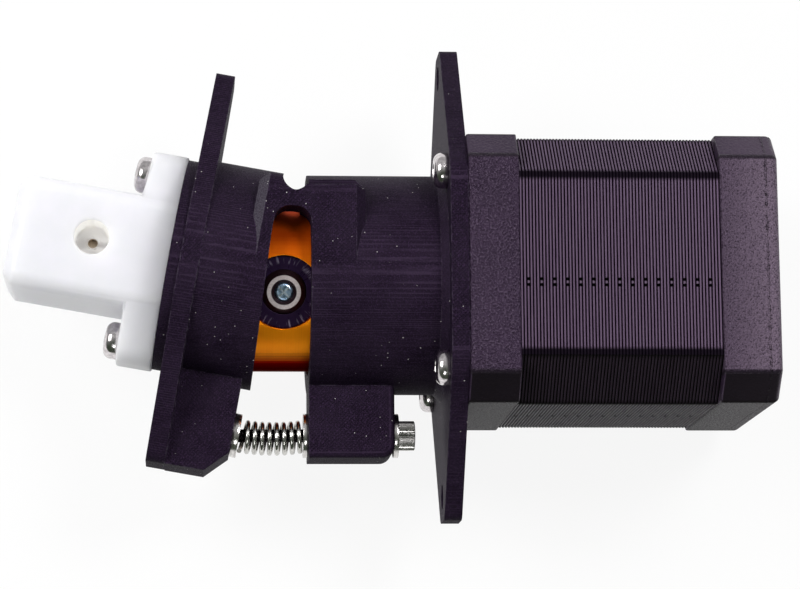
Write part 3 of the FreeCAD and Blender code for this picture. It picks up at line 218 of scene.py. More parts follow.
def new_finish(name, colour, roughness, metallic=0.0):
    """Plain finish to add marks to."""
    finish = bpy.data.materials.new(name)
    finish.use_nodes = True
    shader = finish.node_tree.nodes["Principled BSDF"]
    shader.inputs["Base Color"].default_value = (*colour, 1)
    shader.inputs["Roughness"].default_value = roughness
    shader.inputs["Metallic"].default_value = metallic
    return finish, finish.node_tree, shader


def places(tree, stretch=(1, 1, 1), turn=(0, 0, 0), centre=(0, 0, 0)):
    """Places on the piece, in its own frame. A stretch under 1 draws a pattern out that way."""
    coordinates = tree.nodes.new("ShaderNodeTexCoord")
    mapping = tree.nodes.new("ShaderNodeMapping")
    mapping.vector_type = "TEXTURE"
    mapping.inputs["Location"].default_value = centre
    mapping.inputs["Rotation"].default_value = turn
    mapping.inputs["Scale"].default_value = tuple(1 / part for part in stretch)
    tree.links.new(coordinates.outputs["Object"], mapping.inputs["Vector"])
    return mapping.outputs["Vector"]


def mottle(tree, where, grain, detail=3.0):
    """Irregular marks whose grain is given in metres."""
    noise = tree.nodes.new("ShaderNodeTexNoise")
    noise.inputs["Scale"].default_value = 1 / grain
    noise.inputs["Detail"].default_value = detail
    tree.links.new(where, noise.inputs["Vector"])
    return noise.outputs["Fac"]


def drifting(tree, value, first, second, start=0.3, end=0.7):
    """Colour that drifts from one to another as a mottle does."""
    return tinted(tree, graded(tree, value, start, end, 0, 1), first, second)


def coloured(tree, shader, colour):
    """Let a colour worked out by nodes be the finish's own."""
    tree.links.new(colour, shader.inputs["Base Color"])


def roughened(tree, shader, value, low, high, start=0.3, end=0.7):
    """Roughness that follows a mottle or a mask."""
    tree.links.new(graded(tree, value, start, end, low, high), shader.inputs["Roughness"])


def carved(tree, shader, height, depth):
    """Relief from a height, its depth in metres, on top of the relief already there."""
    bump = tree.nodes.new("ShaderNodeBump")
    bump.inputs["Distance"].default_value = depth
    tree.links.new(height, bump.inputs["Height"])
    if shader.inputs["Normal"].links:
        tree.links.new(shader.inputs["Normal"].links[0].from_socket, bump.inputs["Normal"])
    tree.links.new(bump.outputs["Normal"], shader.inputs["Normal"])


def steel(name, colour, roughness, along=(1, 1, 1), grain=0.00012, scratch=0.000004):
    """Bright steel with fine tool marks drawn out along one way, and a little haze."""
    finish, tree, shader = new_finish(name, colour, roughness, 1.0)
    lines = mottle(tree, places(tree, along), grain)
    haze = mottle(tree, places(tree), HAZE_GRAIN)
    roughened(tree, shader, haze, SMOOTH_SHARE * roughness, ROUGH_SHARE * roughness)
    darker = tuple(TOOL_MARK_SHADE * part for part in colour)
    coloured(tree, shader, drifting(tree, lines, darker, colour, 0.35, 0.65))
    carved(tree, shader, lines, scratch)
    return finish


def dress(finish, *names):
    """Give CAD nodes a finish."""
    for name in names:
        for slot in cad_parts[name].material_slots:
            slot.material = finish


ground_steel = steel("ground_steel", (0.60, 0.61, 0.62), roughness=0.22, along=(0.05, 1, 1))
dress(ground_steel, "motor_shaft", "bearing_inner_rings", "bearing_outer_rings", "bearing_balls")
dress(steel("core_steel", (0.36, 0.36, 0.37), roughness=0.42, along=(1, 0.08, 0.08)), "rotor_cores")
dress(steel("magnet_grey", (0.24, 0.24, 0.26), roughness=0.5), "rotor_magnet")
dress(steel("sprung_steel", (0.55, 0.55, 0.54), roughness=0.3), "bearing_wave_washer")

# Endbells: die-cast ends of the motor in black textured paint, clamped on the stack by four long
# screws. Their bevelled corners are smoother than their flats. The rear bell is painted paler
# towards its far end as painted light. The paint's grain carries painted highlights, and painted
# shade fills its pits, lines the edges of the flats and darkens the faces turned down.
PAINT_GRAIN = 0.00032
PAINT_RELIEF = 0.00030
CORNER_BEVEL = (0.0168, 0.0172)
CREASE = 0.01688
CREASE_WIDTH = (0.00022, 0.00048)
REAR_BELL = (0.030, 0.031)
PAINTED_LIGHT_END = (0.0405, 0.0500)
CAST_SEAM = 0.0491
SEAM_WIDTH = (0.00006, 0.00022)
SEAM_RELIEF = 0.0004
UNDERSIDE = (-0.66, -0.50)
UNDER_SHADE = (0.005, 0.005, 0.004)
UNDER_GLOSS = 0.06
BELL_EDGE = 0.0004
JOIN_WITHIN = 0.000002
SAME_PLANE = math.radians(0.5)
SHARP_EDGE = math.radians(38)


def deselect():
    """Leave edit mode with nothing selected."""
    if bpy.context.mode != "OBJECT":
        bpy.ops.object.mode_set(mode="OBJECT")
    bpy.ops.object.select_all(action="DESELECT")


def taken_up(piece):
    """Make a piece the only one worked on."""
    deselect()
    bpy.context.view_layer.objects.active = piece
    piece.select_set(True)


def applied(piece):
    """Make a piece's modifiers part of its mesh."""
    taken_up(piece)
    for modifier in list(piece.modifiers):
        bpy.ops.object.modifier_apply(modifier=modifier.name)


def smoothed(piece, angle=32):
    """Shade a piece smooth, apart from its edges sharper than an angle."""
    taken_up(piece)
    bpy.ops.object.shade_smooth_by_angle(angle=math.radians(angle))


def copied(name, node):
    """A copy of a CAD node's mesh with its triangles joined into whole faces."""
    deselect()
    piece = bpy.data.objects.new(name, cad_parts[node].data.copy())
    scene.collection.objects.link(piece)
    taken_up(piece)
    if piece.data.has_custom_normals:
        bpy.ops.mesh.customdata_custom_splitnormals_clear()
    bpy.ops.object.mode_set(mode="EDIT")
    bpy.ops.mesh.select_all(action="SELECT")
    bpy.ops.mesh.remove_doubles(threshold=JOIN_WITHIN)
    bpy.ops.mesh.dissolve_limited(angle_limit=SAME_PLANE)
    bpy.ops.object.mode_set(mode="OBJECT")
    return piece


def coated(piece, finish):
    """Give a new piece its one finish."""
    piece.data.materials.clear()
    piece.data.materials.append(finish)


def settled(piece, finish, body, node):
    """Finish a piece that stands for a CAD node and moves with its body."""
    coated(piece, finish)
    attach(piece, body)
    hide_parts(node)


def softened(name, node, width, finish, body, segments=2):
    """A piece that stands for a CAD node, with its sharp edges broken and shaded evenly."""
    piece = copied(name, node)
    edges = piece.modifiers.new("soft_edges", "BEVEL")
    edges.width = width
    edges.segments = segments
    edges.limit_method = "ANGLE"
    edges.angle_limit = SHARP_EDGE
    edges.use_clamp_overlap = False
    applied(piece)
    smoothed(piece)
    even = piece.modifiers.new("even_shading", "WEIGHTED_NORMAL")
    even.keep_sharp = True
    applied(piece)
    settled(piece, finish, body, node)


def masked(tree, first, *others):
    """A value cut down by masks."""
    for other in others:
        first = combined(tree, "MULTIPLY", first, other)
    return first


def distance(tree, value, middle):
    """How far a value lies from a middle, either way."""
    return combined(tree, "ABSOLUTE", combined(tree, "SUBTRACT", value, middle))


def off_middle(tree, toward, upward):
    """The lesser of the distances from the motor's two middle planes."""
    return combined(tree, "MINIMUM", combined(tree, "ABSOLUTE", toward),
                    combined(tree, "ABSOLUTE", upward))


def facing(tree):
    """The X, Y and Z parts of the way that the surface faces."""
    surface = tree.nodes.new("ShaderNodeNewGeometry")
    return sides_of(tree, surface.outputs["True Normal"])


def painted_shade_below(tree, coat, gloss):
    """A coat's colour darkened by painted shade, and its gloss dulled, where the surface faces
    down.
    """
    fall = facing(tree)[2]
    return (tinted(tree, graded(tree, fall, *UNDERSIDE, 0.8, 0), coat, UNDER_SHADE),
            graded(tree, fall, *UNDERSIDE, UNDER_GLOSS, gloss))


painted, tree, shader = new_finish("textured_black_paint", (0.045, 0.036, 0.047), roughness=0.42)
shader.inputs["Specular IOR Level"].default_value = 0.3
shader.inputs["Specular Tint"].default_value = (0.92, 0.70, 1.0, 1)
across, toward, upward = sides_of(tree, places(tree))
side = off_middle(tree, toward, upward)
flat = graded(tree, side, *CORNER_BEVEL, 1, 0.25)
spots = mottle(tree, places(tree), grain=PAINT_GRAIN, detail=1.0)
patches = mottle(tree, places(tree), grain=0.006, detail=2.0)
coat = drifting(tree, patches, (0.013, 0.006, 0.018), (0.020, 0.010, 0.026), 0.35, 0.65)
# Painted light: the rear bell is painted paler towards the motor's far end.
painted_light_and_wear = masked(tree, graded(tree, across, *PAINTED_LIGHT_END, 0.15, 0.9),
                graded(tree, side, *CORNER_BEVEL, 1, 0.2), graded(tree, across, *REAR_BELL, 0, 1))
coat = tinted(tree, painted_light_and_wear, coat, (0.150, 0.112, 0.152))
# Painted highlight on the paint's raised grain, and painted shade in its pits.
painted_peel_highlight = masked(tree, graded(tree, spots, 0.50, 0.68, 0, 0.8), flat)
coat = tinted(tree, painted_peel_highlight, coat, (0.062, 0.044, 0.070))
painted_pit_shade = masked(tree, graded(tree, spots, 0.32, 0.46, 0.8, 0), flat)
coat = tinted(tree, painted_pit_shade, coat, (0.009, 0.005, 0.011))
# Painted shade: a dark line where the flats meet the bevelled corners.
painted_crease_shade = graded(tree, distance(tree, side, CREASE), *CREASE_WIDTH, 0.95, 0)
coat = tinted(tree, painted_crease_shade, coat, (0.005, 0.003, 0.006))
coat, gloss = painted_shade_below(tree, coat, 0.3)
coloured(tree, shader, coat)
tree.links.new(gloss, shader.inputs["Specular IOR Level"])
lumps = mottle(tree, places(tree), grain=0.0007)
seam = masked(tree, graded(tree, distance(tree, across, CAST_SEAM), *SEAM_WIDTH, 1, 0),
              graded(tree, lumps, 0.40, 0.62, 0.1, 1))
carved(tree, shader, seam, SEAM_RELIEF)
roughened(tree, shader, spots, 0.52, 0.34)
carved(tree, shader, masked(tree, spots, flat), PAINT_RELIEF)
for name, node in (("painted_front_bell", "motor_front_endbell"),
                   ("painted_rear_bell", "motor_rear_endbell")):
    softened(name, node, BELL_EDGE, painted, "base", segments=3)

# Stator: 62 stamped steel laminations, black coated, stacked between the endbells. A fine
# groove shows between two, and every fourth one has a small pressed mark on each side.
# Painted shade darkens the grooves, the band where the flats meet the bevelled corners, and
# the faces turned down.
LAMINATIONS = 62
GROOVE_DEPTH = 0.00014
GROOVE_SHARE = 0.42
STACK_BEVEL = 0.0067
BORE_HALF = 0.0138
CORNER_FOOT = (0.0129, 0.0135)
CORNER_HEAD = (0.0143, 0.0149)
MARK_HEIGHT = -0.003
MARK_EVERY = 4
MARK_START = 2.45
MARK_LENGTH = (0.00024, 0.00034)
MARK_WIDTH = (0.00020, 0.00028)
MARK_APART = 0.00045
GLINT = (0.00012, 0.00018)
stack_low, stack_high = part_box("stator_stack")
PITCH = (stack_high.x - stack_low.x) / LAMINATIONS
half_side = stack_high.y
deselect()
bpy.ops.mesh.primitive_plane_add(size=2 * half_side, location=(stack_low.x, 0, 0),
                                 rotation=(0, math.radians(90), 0))
lamination = bpy.context.active_object
lamination.name = "laminations"
bpy.ops.object.transform_apply(location=True, rotation=True, scale=True)
bpy.ops.object.mode_set(mode="EDIT")
bpy.ops.mesh.select_all(action="SELECT")
bpy.ops.mesh.bevel(offset=STACK_BEVEL, segments=1, affect="VERTICES")
bpy.ops.mesh.select_all(action="SELECT")
bpy.ops.mesh.inset(thickness=half_side - BORE_HALF)
bpy.ops.mesh.delete(type="FACE")
bpy.ops.mesh.select_all(action="SELECT")
ridge, groove = PITCH * (1 - GROOVE_SHARE), PITCH * GROOVE_SHARE
bpy.ops.mesh.extrude_region_move(TRANSFORM_OT_translate={"value": (ridge, 0, 0)})
bpy.ops.mesh.inset(thickness=GROOVE_DEPTH)
bpy.ops.mesh.extrude_region_move(TRANSFORM_OT_translate={"value": (groove, 0, 0)})
bpy.ops.mesh.select_all(action="SELECT")
bpy.ops.mesh.normals_make_consistent(inside=False)
bpy.ops.object.mode_set(mode="OBJECT")
pile = lamination.modifiers.new("pile", "ARRAY")
pile.count = LAMINATIONS
pile.use_relative_offset = False
pile.use_constant_offset = True
pile.constant_offset_displace = (PITCH, 0, 0)
applied(lamination)

black_coat, tree, shader = new_finish("coated_laminations", (0.06, 0.045, 0.065), roughness=0.38)
shader.inputs["Specular IOR Level"].default_value = 0.25
shader.inputs["Specular Tint"].default_value = (0.92, 0.70, 1.0, 1)
across, toward, upward = sides_of(tree, places(tree))
streaks = mottle(tree, places(tree, stretch=(2, 0.12, 0.12)), grain=0.0005)
coat = drifting(tree, streaks, (0.066, 0.042, 0.075), (0.100, 0.068, 0.110))
from_end = combined(tree, "SUBTRACT", across, stack_low.x)
step = combined(tree, "DIVIDE", combined(tree, "FLOORED_MODULO", from_end, PITCH), PITCH)
# Painted shade darkens the grooves between laminations.
painted_groove_shade = masked(tree, graded(tree, step, 0.40, 0.54, 0, 1), graded(tree, step, 0.94, 1.0, 1, 0))
coat = tinted(tree, painted_groove_shade, coat, (0.004, 0.002, 0.005))
side = off_middle(tree, toward, upward)
# Painted shade: a dark band where the stack's flats meet its bevelled corners.
corner = masked(tree, graded(tree, side, *CORNER_FOOT, 0, 0.95),
                graded(tree, side, *CORNER_HEAD, 1, 0))
coat = tinted(tree, corner, coat, (0.003, 0.002, 0.004))
side = off_middle(tree, toward, combined(tree, "SUBTRACT", upward, MARK_HEIGHT))
along_four = distance(tree, combined(tree, "FLOORED_MODULO", from_end, MARK_EVERY * PITCH),
                      MARK_START * PITCH)
pressed = masked(tree, graded(tree, along_four, *MARK_LENGTH, 1, 0),
                 graded(tree, distance(tree, side, MARK_APART), *MARK_WIDTH, 1, 0))
coat = tinted(tree, pressed, coat, (0.001, 0.001, 0.001))
glint = masked(tree, graded(tree, along_four, *GLINT, 1, 0), graded(tree, side, *GLINT, 1, 0))
coat = tinted(tree, glint, coat, (0.09, 0.065, 0.095))
coat, gloss = painted_shade_below(tree, coat, 0.25)
coloured(tree, shader, coat)
dull = combined(tree, "MAXIMUM", combined(tree, "MAXIMUM", pressed, corner), painted_groove_shade)
gloss = masked(tree, gloss, combined(tree, "SUBTRACT", 1.0, dull))
tree.links.new(gloss, shader.inputs["Specular IOR Level"])
roughened(tree, shader, streaks, 0.34, 0.48)
settled(lamination, black_coat, "base", "stator_stack")

# Winding: enamelled copper wire, laid in coils round the stator's poles inside the stack.
# Its turns run along the motor and show as a fine ribbing.
copper, tree, shader = new_finish("enamelled_copper", (0.55, 0.22, 0.09), roughness=0.35,
                                  metallic=0.8)
turns = mottle(tree, places(tree, stretch=(0.1, 1, 1)), grain=0.0003)
coloured(tree, shader, drifting(tree, turns, (0.30, 0.10, 0.04), (0.62, 0.27, 0.12), 0.4, 0.6))
carved(tree, shader, turns, depth=0.00008)
dress(copper, "stator_winding")

# Motor plug: a white moulded header with plated pins, set in the rear endbell on the side away
# from the camera. The polymer is slightly clouded and its edges are broken.
PLUG_EDGE = 0.0002
moulded, tree, shader = new_finish("moulded_white", (0.72, 0.70, 0.62), roughness=0.4)
cloud = mottle(tree, places(tree), grain=0.002)
coloured(tree, shader, drifting(tree, cloud, (0.68, 0.65, 0.56), (0.76, 0.74, 0.66)))
carved(tree, shader, mottle(tree, places(tree), grain=0.0003), depth=0.00001)
softened("plug_header", "motor_socket", PLUG_EDGE, moulded, "base")
dress(steel("plated_pins", (0.80, 0.70, 0.42), roughness=0.25), "motor_socket_pins")

# Screws: bright pan-head machine screws hold the motor together, the flange to the motor
# and the fluid head to its wall.
SCREW_EDGE = 0.00012
bright = steel("bright_screw_steel", (0.74, 0.70, 0.71), roughness=0.17, grain=0.0006,
               scratch=0.000006)
for name, node, body in (("motor_screws", "motor_through_screws", "base"),
                         ("flange_screws", "mounting_screws", "base"),
                         ("head_flange_screws", "head_screws", "head")):
    softened(name, node, SCREW_EDGE, bright, body)

# Housings: rear and front, each with its barrel, plate and adjuster lug, printed in black nylon in
# layers stacked towards the near side. Round parts show fine steps and flat ones a crossed weave.
# The edges are painted grey, partly wear and partly painted highlight, one facet at the front is
# painted grey as a painted highlight, and the grain's specks are partly painted highlight.
LAYER = 0.00016
LAYER_RELIEF = 0.00004
TRACK = 0.00042
TRACK_RELIEF = 0.00007
NYLON_GRAIN = 0.00022
NYLON_RELIEF = 0.00006
RUBBED_WIDTH = 0.0003
HINGE_X = -0.02385
SEAM_CLEAR = 0.0024
SEAM_FADE = 0.0004
BARREL_NEAR = (-0.0185, -0.0180)
BARREL_FAR = (-0.0176, -0.0160)
LOWER_HALF = (0.0, 0.0003)
FLAT_ON = (-0.9998, -0.9990)
COLLAR_END = (-0.012, -0.010)
FACET_SLOPE = (-0.60, -0.42)
FACET_FRONT = (-0.35, -0.25)
BEND = (0.90, 0.98)


def waves(tree, where, direction, period, profile="SIN"):
    """Even bands with a period in metres."""
    bands = tree.nodes.new("ShaderNodeTexWave")
    bands.wave_type = "BANDS"
    bands.bands_direction = direction
    bands.wave_profile = profile
    bands.inputs["Scale"].default_value = math.pi / 10 / period
    tree.links.new(where, bands.inputs["Vector"])
    return bands.outputs["Fac"]


def specks(tree, spacing, share, radius, fade=1.6):
    """Scattered grains of light dust."""
    cells = tree.nodes.new("ShaderNodeTexVoronoi")
    cells.inputs["Scale"].default_value = 1 / spacing
    tree.links.new(places(tree), cells.inputs["Vector"])
    picked = sides_of(tree, cells.outputs["Color"])[0]
    near = graded(tree, cells.outputs["Distance"], radius / spacing, fade * radius / spacing, 1, 0)
    return masked(tree, near, graded(tree, picked, 1 - share, 1 - share + 0.01, 0, 1))


printed, tree, shader = new_finish("printed_black_nylon", (0.010, 0.007, 0.012), roughness=0.5)
shader.inputs["Specular IOR Level"].default_value = 0.15
shader.inputs["Specular Tint"].default_value = (0.85, 0.55, 1.0, 1)
across, toward, upward = sides_of(tree, places(tree))
surface = tree.nodes.new("ShaderNodeNewGeometry")
worn = tree.nodes.new("ShaderNodeBevel")
worn.samples = 6
worn.inputs["Radius"].default_value = RUBBED_WIDTH
off_hinge = graded(tree, distance(tree, across, HINGE_X), SEAM_CLEAR, SEAM_CLEAR + SEAM_FADE, 0, 1)
lie = tree.nodes.new("ShaderNodeMix")
lie.data_type = "VECTOR"
tree.links.new(off_hinge, lie.inputs["Factor"])
tree.links.new(surface.outputs["Normal"], lie.inputs[4])
tree.links.new(worn.outputs["Normal"], lie.inputs[5])
tree.links.new(lie.outputs[1], shader.inputs["Normal"])
slope, front, fall = facing(tree)
barrel_line = masked(tree, graded(tree, toward, *BARREL_FAR, 1, 0),
                     graded(tree, upward, *LOWER_HALF, 1, 0),
                     graded(tree, toward, *BARREL_NEAR, 0, 1))
skin = masked(tree, graded(tree, front, *FLAT_ON, 1, 0),
              combined(tree, "SUBTRACT", 1.0, barrel_line))
cloud = mottle(tree, places(tree), grain=0.005)
nylon = drifting(tree, cloud, (0.003, 0.0015, 0.005), (0.008, 0.005, 0.011), 0.35, 0.65)
grain = mottle(tree, places(tree), grain=NYLON_GRAIN, detail=2.0)
# The grain's raised specks are painted paler: partly the nylon's grain, partly painted speckle
# highlight.
nylon = tinted(tree, graded(tree, grain, 0.50, 0.72, 0, 0.85), nylon, (0.025, 0.013, 0.035))
layers = waves(tree, places(tree), "Y", LAYER, "SAW")
wander = mottle(tree, places(tree, stretch=(0.06, 1, 1)), grain=0.0004)
steps = masked(tree, graded(tree, layers, 0.55, 0.85, 0, 1),
               graded(tree, wander, 0.40, 0.60, 0.10, 0.55), combined(tree, "SUBTRACT", 1.0, skin))
nylon = tinted(tree, steps, nylon, (0.034, 0.022, 0.043))
# Painted highlight: faces turned to the left at the front collar are painted grey.
painted_facet_highlight = masked(tree, graded(tree, slope, *FACET_SLOPE, 1, 0),
               graded(tree, front, *FACET_FRONT, 1, 0), graded(tree, across, *COLLAR_END, 1, 0),
               graded(tree, grain, 0.35, 0.65, 0.35, 1))
nylon = tinted(tree, painted_facet_highlight, nylon, (0.064, 0.059, 0.072))
bend = tree.nodes.new("ShaderNodeVectorMath")
bend.operation = "DOT_PRODUCT"
tree.links.new(worn.outputs["Normal"], bend.inputs[0])
tree.links.new(surface.outputs["Normal"], bend.inputs[1])
# Edges painted grey: partly wear, partly painted highlight.
painted_light_and_wear = masked(tree, graded(tree, bend.outputs["Value"], *BEND, 1, 0), off_hinge,
                graded(tree, mottle(tree, places(tree), grain=0.0009), 0.45, 0.60, 0, 0.8))
nylon = tinted(tree, painted_light_and_wear, nylon, (0.075, 0.062, 0.088))
dust = specks(tree, spacing=0.0010, share=0.30, radius=0.000055)
coloured(tree, shader, tinted(tree, dust, nylon, (0.60, 0.58, 0.57)))
tree.links.new(graded(tree, fall, -0.95, -0.60, 0.05, 0.15), shader.inputs["Specular IOR Level"])
roughened(tree, shader, grain, 0.62, 0.42)
tracks = waves(tree, places(tree, turn=(0, math.radians(45), 0)), "X", TRACK)
crossed = waves(tree, places(tree, turn=(0, math.radians(-45), 0)), "X", TRACK)
carved(tree, shader, masked(tree, tracks, crossed, skin), TRACK_RELIEF)
carved(tree, shader, layers, LAYER_RELIEF)
carved(tree, shader, grain, NYLON_RELIEF)
dress(printed, "rear_housing", "front_housing")

# Living hinge: the thin bent web at the top, printed with both housings, that the head tilts on.
# It is cut into fine triangles.
web = copied("hinge_web", "living_hinge")
bpy.ops.object.mode_set(mode="EDIT")
bpy.ops.mesh.select_all(action="SELECT")
bpy.ops.mesh.quads_convert_to_tris()
bpy.ops.mesh.subdivide(number_cuts=2)
bpy.ops.object.mode_set(mode="OBJECT")
smoothed(web, angle=40)
coated(web, printed)
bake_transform(web)
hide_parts("living_hinge")

# Fluid head: a square block of white polymer with an oval flange, bored for the ceramic liner.
# It passes a little light, and its corners are softly broken. Its ports are painted paler and
# given a faint glow, painted light that lifts the shade inside them.
PORT_MIDDLE = (-0.0553, 0.0060)
PORT_EDGE = (0.0031, 0.0033)
PORT_MOUTH = (0.0085, 0.0089)
PORT_GLOW = 0.12
HEAD_EDGE = 0.0004


def reach(tree, first, second):
    """Distance from an axis, from the two parts across it."""
    return combined(tree, "SQRT", combined(tree, "ADD", combined(tree, "MULTIPLY", first, first),
                                           combined(tree, "MULTIPLY", second, second)))


white, tree, shader = new_finish("white_polymer", (0.84, 0.84, 0.87), roughness=0.38)
shader.inputs["Specular IOR Level"].default_value = 0.35
shader.inputs["Subsurface Weight"].default_value = 1.0
shader.inputs["Subsurface Radius"].default_value = (1.0, 1.0, 0.95)
shader.inputs["Subsurface Scale"].default_value = 0.006
cloud = mottle(tree, places(tree), grain=0.004)
milky = drifting(tree, cloud, (0.745, 0.745, 0.78), (0.775, 0.765, 0.81))
across, toward, upward = sides_of(tree, places(tree))
off_port = reach(tree, combined(tree, "SUBTRACT", across, PORT_MIDDLE[0]),
                 combined(tree, "SUBTRACT", upward, PORT_MIDDLE[1]))
# Painted light: the port is painted paler and made to glow faintly.
painted_port_light = masked(tree, graded(tree, off_port, *PORT_EDGE, 1, 0),
                 graded(tree, combined(tree, "ABSOLUTE", toward), *PORT_MOUTH, 1, 0))
coloured(tree, shader, tinted(tree, painted_port_light, milky, (0.90, 0.89, 0.87)))
shader.inputs["Emission Color"].default_value = (1.0, 0.98, 0.96, 1)
tree.links.new(combined(tree, "MULTIPLY", painted_port_light, PORT_GLOW), shader.inputs["Emission Strength"])
roughened(tree, shader, cloud, 0.34, 0.46)
carved(tree, shader, mottle(tree, places(tree, stretch=(1, 1, 0.1)), grain=0.0003), depth=0.000006)
softened("white_fluid_head", "head_block", HEAD_EDGE, white, "head", segments=3)

# Liner, piston and seals: a ground ceramic tube and rod, with lip seals, their retainer and
# rubber O-rings. A steel cap on the piston takes the drive pin, and set screws hold the hub.
tan, tree, shader = new_finish("ground_ceramic", (0.62, 0.52, 0.40), roughness=0.3)
fine = mottle(tree, places(tree, stretch=(1, 0.2, 0.2)), grain=0.0002)
coloured(tree, shader, drifting(tree, fine, (0.58, 0.48, 0.36), (0.68, 0.58, 0.46)))
roughened(tree, shader, fine, 0.26, 0.36)
dress(tan, "cylinder_liner", "piston")
lips, tree, shader = new_finish("seal_polymer", (0.62, 0.62, 0.57), roughness=0.45)
fine = mottle(tree, places(tree), grain=0.0008)
coloured(tree, shader, drifting(tree, fine, (0.58, 0.58, 0.53), (0.68, 0.68, 0.63)))
dress(lips, "piston_seals", "seal_retainer")
rubber, tree, shader = new_finish("black_rubber", (0.02, 0.02, 0.02), roughness=0.6)
fine = mottle(tree, places(tree), grain=0.0002)
coloured(tree, shader, drifting(tree, fine, (0.014, 0.014, 0.014), (0.03, 0.03, 0.03)))
carved(tree, shader, fine, depth=0.00001)
dress(rubber, "liner_o_rings")
dress(steel("cap_steel", (0.50, 0.50, 0.50), roughness=0.3, along=(0.2, 1, 1)), "piston_cap")
dress(steel("black_set_screws", (0.06, 0.06, 0.065), roughness=0.4), "hub_set_screws")

# Drive hub: a turned aluminium cup, dyed orange in the anodising, clamped on the motor shaft.
# Fine turning lines run round it, and the clear skin mirrors softly. Painted light makes it paler
# where it faces down and darker where it faces up, and painted shade darkens its lowest edge.
HUB_EDGE = 0.00015
HUB_LIMB = (-0.955, -0.86)
HUB_METAL = (-0.94, -0.86)
HUB_SHADE = (-0.5, 0.4)
anodised, tree, shader = new_finish("orange_anodised", (0.90, 0.24, 0.01), roughness=0.3,
                                    metallic=0.9)
turned = mottle(tree, places(tree, stretch=(1, 0.02, 0.02)), grain=0.00018, detail=2.0)
patch = mottle(tree, places(tree), grain=0.003)
shader.inputs["Specular Tint"].default_value = (0.22, 0.04, 0.02, 1)
fall = facing(tree)[2]
tree.links.new(graded(tree, fall, *HUB_METAL, 1.0, 0.55), shader.inputs["Metallic"])
# Painted light: paler where the hub faces down, darker where it faces up, painted shade at its
# lowest edge.
dye_and_painted_light = tinted(tree, graded(tree, fall, *HUB_SHADE, 0, 1), (1.0, 0.31, 0.006), (0.60, 0.07, 0.003))
dye_and_painted_light = tinted(tree, graded(tree, turned, 0.3, 0.7, 0.12, 0), dye_and_painted_light, (0.45, 0.06, 0.003))
dye_and_painted_light = tinted(tree, graded(tree, patch, 0.4, 0.7, 0, 0.2), dye_and_painted_light, (0.80, 0.15, 0.004))
dye_and_painted_light = tinted(tree, graded(tree, fall, *HUB_LIMB, 1, 0), dye_and_painted_light, (0.11, 0.012, 0.004))
coloured(tree, shader, dye_and_painted_light)
roughened(tree, shader, turned, 0.30, 0.38)
carved(tree, shader, turned, depth=0.0000015)
softened("orange_hub", "drive_hub", HUB_EDGE, anodised, "rotor")

# Ball joint: a black oxide race pressed in the hub holds a dark ball with a ground face,
# and the ball carries the steel pin that drives the piston.
PIN_ANGLE = math.radians(15)
PIN_ORBIT = 0.01
BALL_CENTRE = (-0.0254, -PIN_ORBIT * math.cos(PIN_ANGLE), -PIN_ORBIT * math.sin(PIN_ANGLE))
JOINT_EDGE = 0.0002
RIM_START = (0.0043, 0.0048)
RAYS_ROUND = 4.0
RAYS_OUT = 120.0
RAY_SCALE = 3.0
FACE_REACH = 0.0029
FACE_RELIEF = 0.00003
FACE_INNER = 0.0020
FACE_FADE = 0.00004
CROSS_WIDTH = (0.0001, 0.00035)


def about_pin(tree):
    """Places in the ball's frame, with Y along the pin: across, outward and up."""
    turned_places = places(tree, turn=(PIN_ANGLE, 0, 0), centre=BALL_CENTRE)
    across, inward, upward = sides_of(tree, turned_places)
    return across, combined(tree, "MULTIPLY", inward, -1.0), upward


black_oxide, tree, shader = new_finish("black_oxide_race", (0.012, 0.006, 0.020), roughness=0.3)
shader.inputs["Specular IOR Level"].default_value = 0.3
shader.inputs["Specular Tint"].default_value = (0.75, 0.45, 1.0, 1)
across, outward, upward = about_pin(tree)
from_pin = reach(tree, across, upward)
gather = tree.nodes.new("ShaderNodeCombineXYZ")
around = combined(tree, "ARCTAN2", across, upward)
tree.links.new(combined(tree, "MULTIPLY", around, RAYS_ROUND), gather.inputs["X"])
tree.links.new(combined(tree, "MULTIPLY", from_pin, RAYS_OUT), gather.inputs["Y"])
rays = tree.nodes.new("ShaderNodeTexNoise")
rays.inputs["Scale"].default_value = RAY_SCALE
tree.links.new(gather.outputs["Vector"], rays.inputs["Vector"])
# Painted highlights: radial streaks painted paler on the race's rim.
painted_ray_highlights = masked(tree, graded(tree, rays.outputs["Fac"], 0.55, 0.72, 0, 1),
                graded(tree, from_pin, *RIM_START, 0, 1))
coloured(tree, shader, tinted(tree, painted_ray_highlights, (0.006, 0.002, 0.013), (0.20, 0.17, 0.24)))
roughened(tree, shader, rays.outputs["Fac"], 0.5, 0.25)
softened("black_race", "ball_race", JOINT_EDGE, black_oxide, "rotor")

ball_finish, tree, shader = new_finish("dark_ball", (0.02, 0.01, 0.012), roughness=0.25,
                                       metallic=0.7)
across, outward, upward = about_pin(tree)
from_pin = reach(tree, across, upward)
ground_face = masked(tree, graded(tree, outward, FACE_REACH, FACE_REACH + FACE_RELIEF, 0, 1),
                     graded(tree, from_pin, FACE_INNER - FACE_FADE, FACE_INNER, 0, 1))
speckle = mottle(tree, places(tree), grain=0.0003)
dark = drifting(tree, speckle, (0.018, 0.008, 0.012), (0.045, 0.020, 0.026))
pale = drifting(tree, speckle, (0.52, 0.45, 0.46), (0.66, 0.60, 0.60))
coloured(tree, shader, tinted(tree, ground_face, dark, pale))
roughened(tree, shader, ground_face, 0.35, 0.45, 0, 1)
dress(ball_finish, "drive_ball")

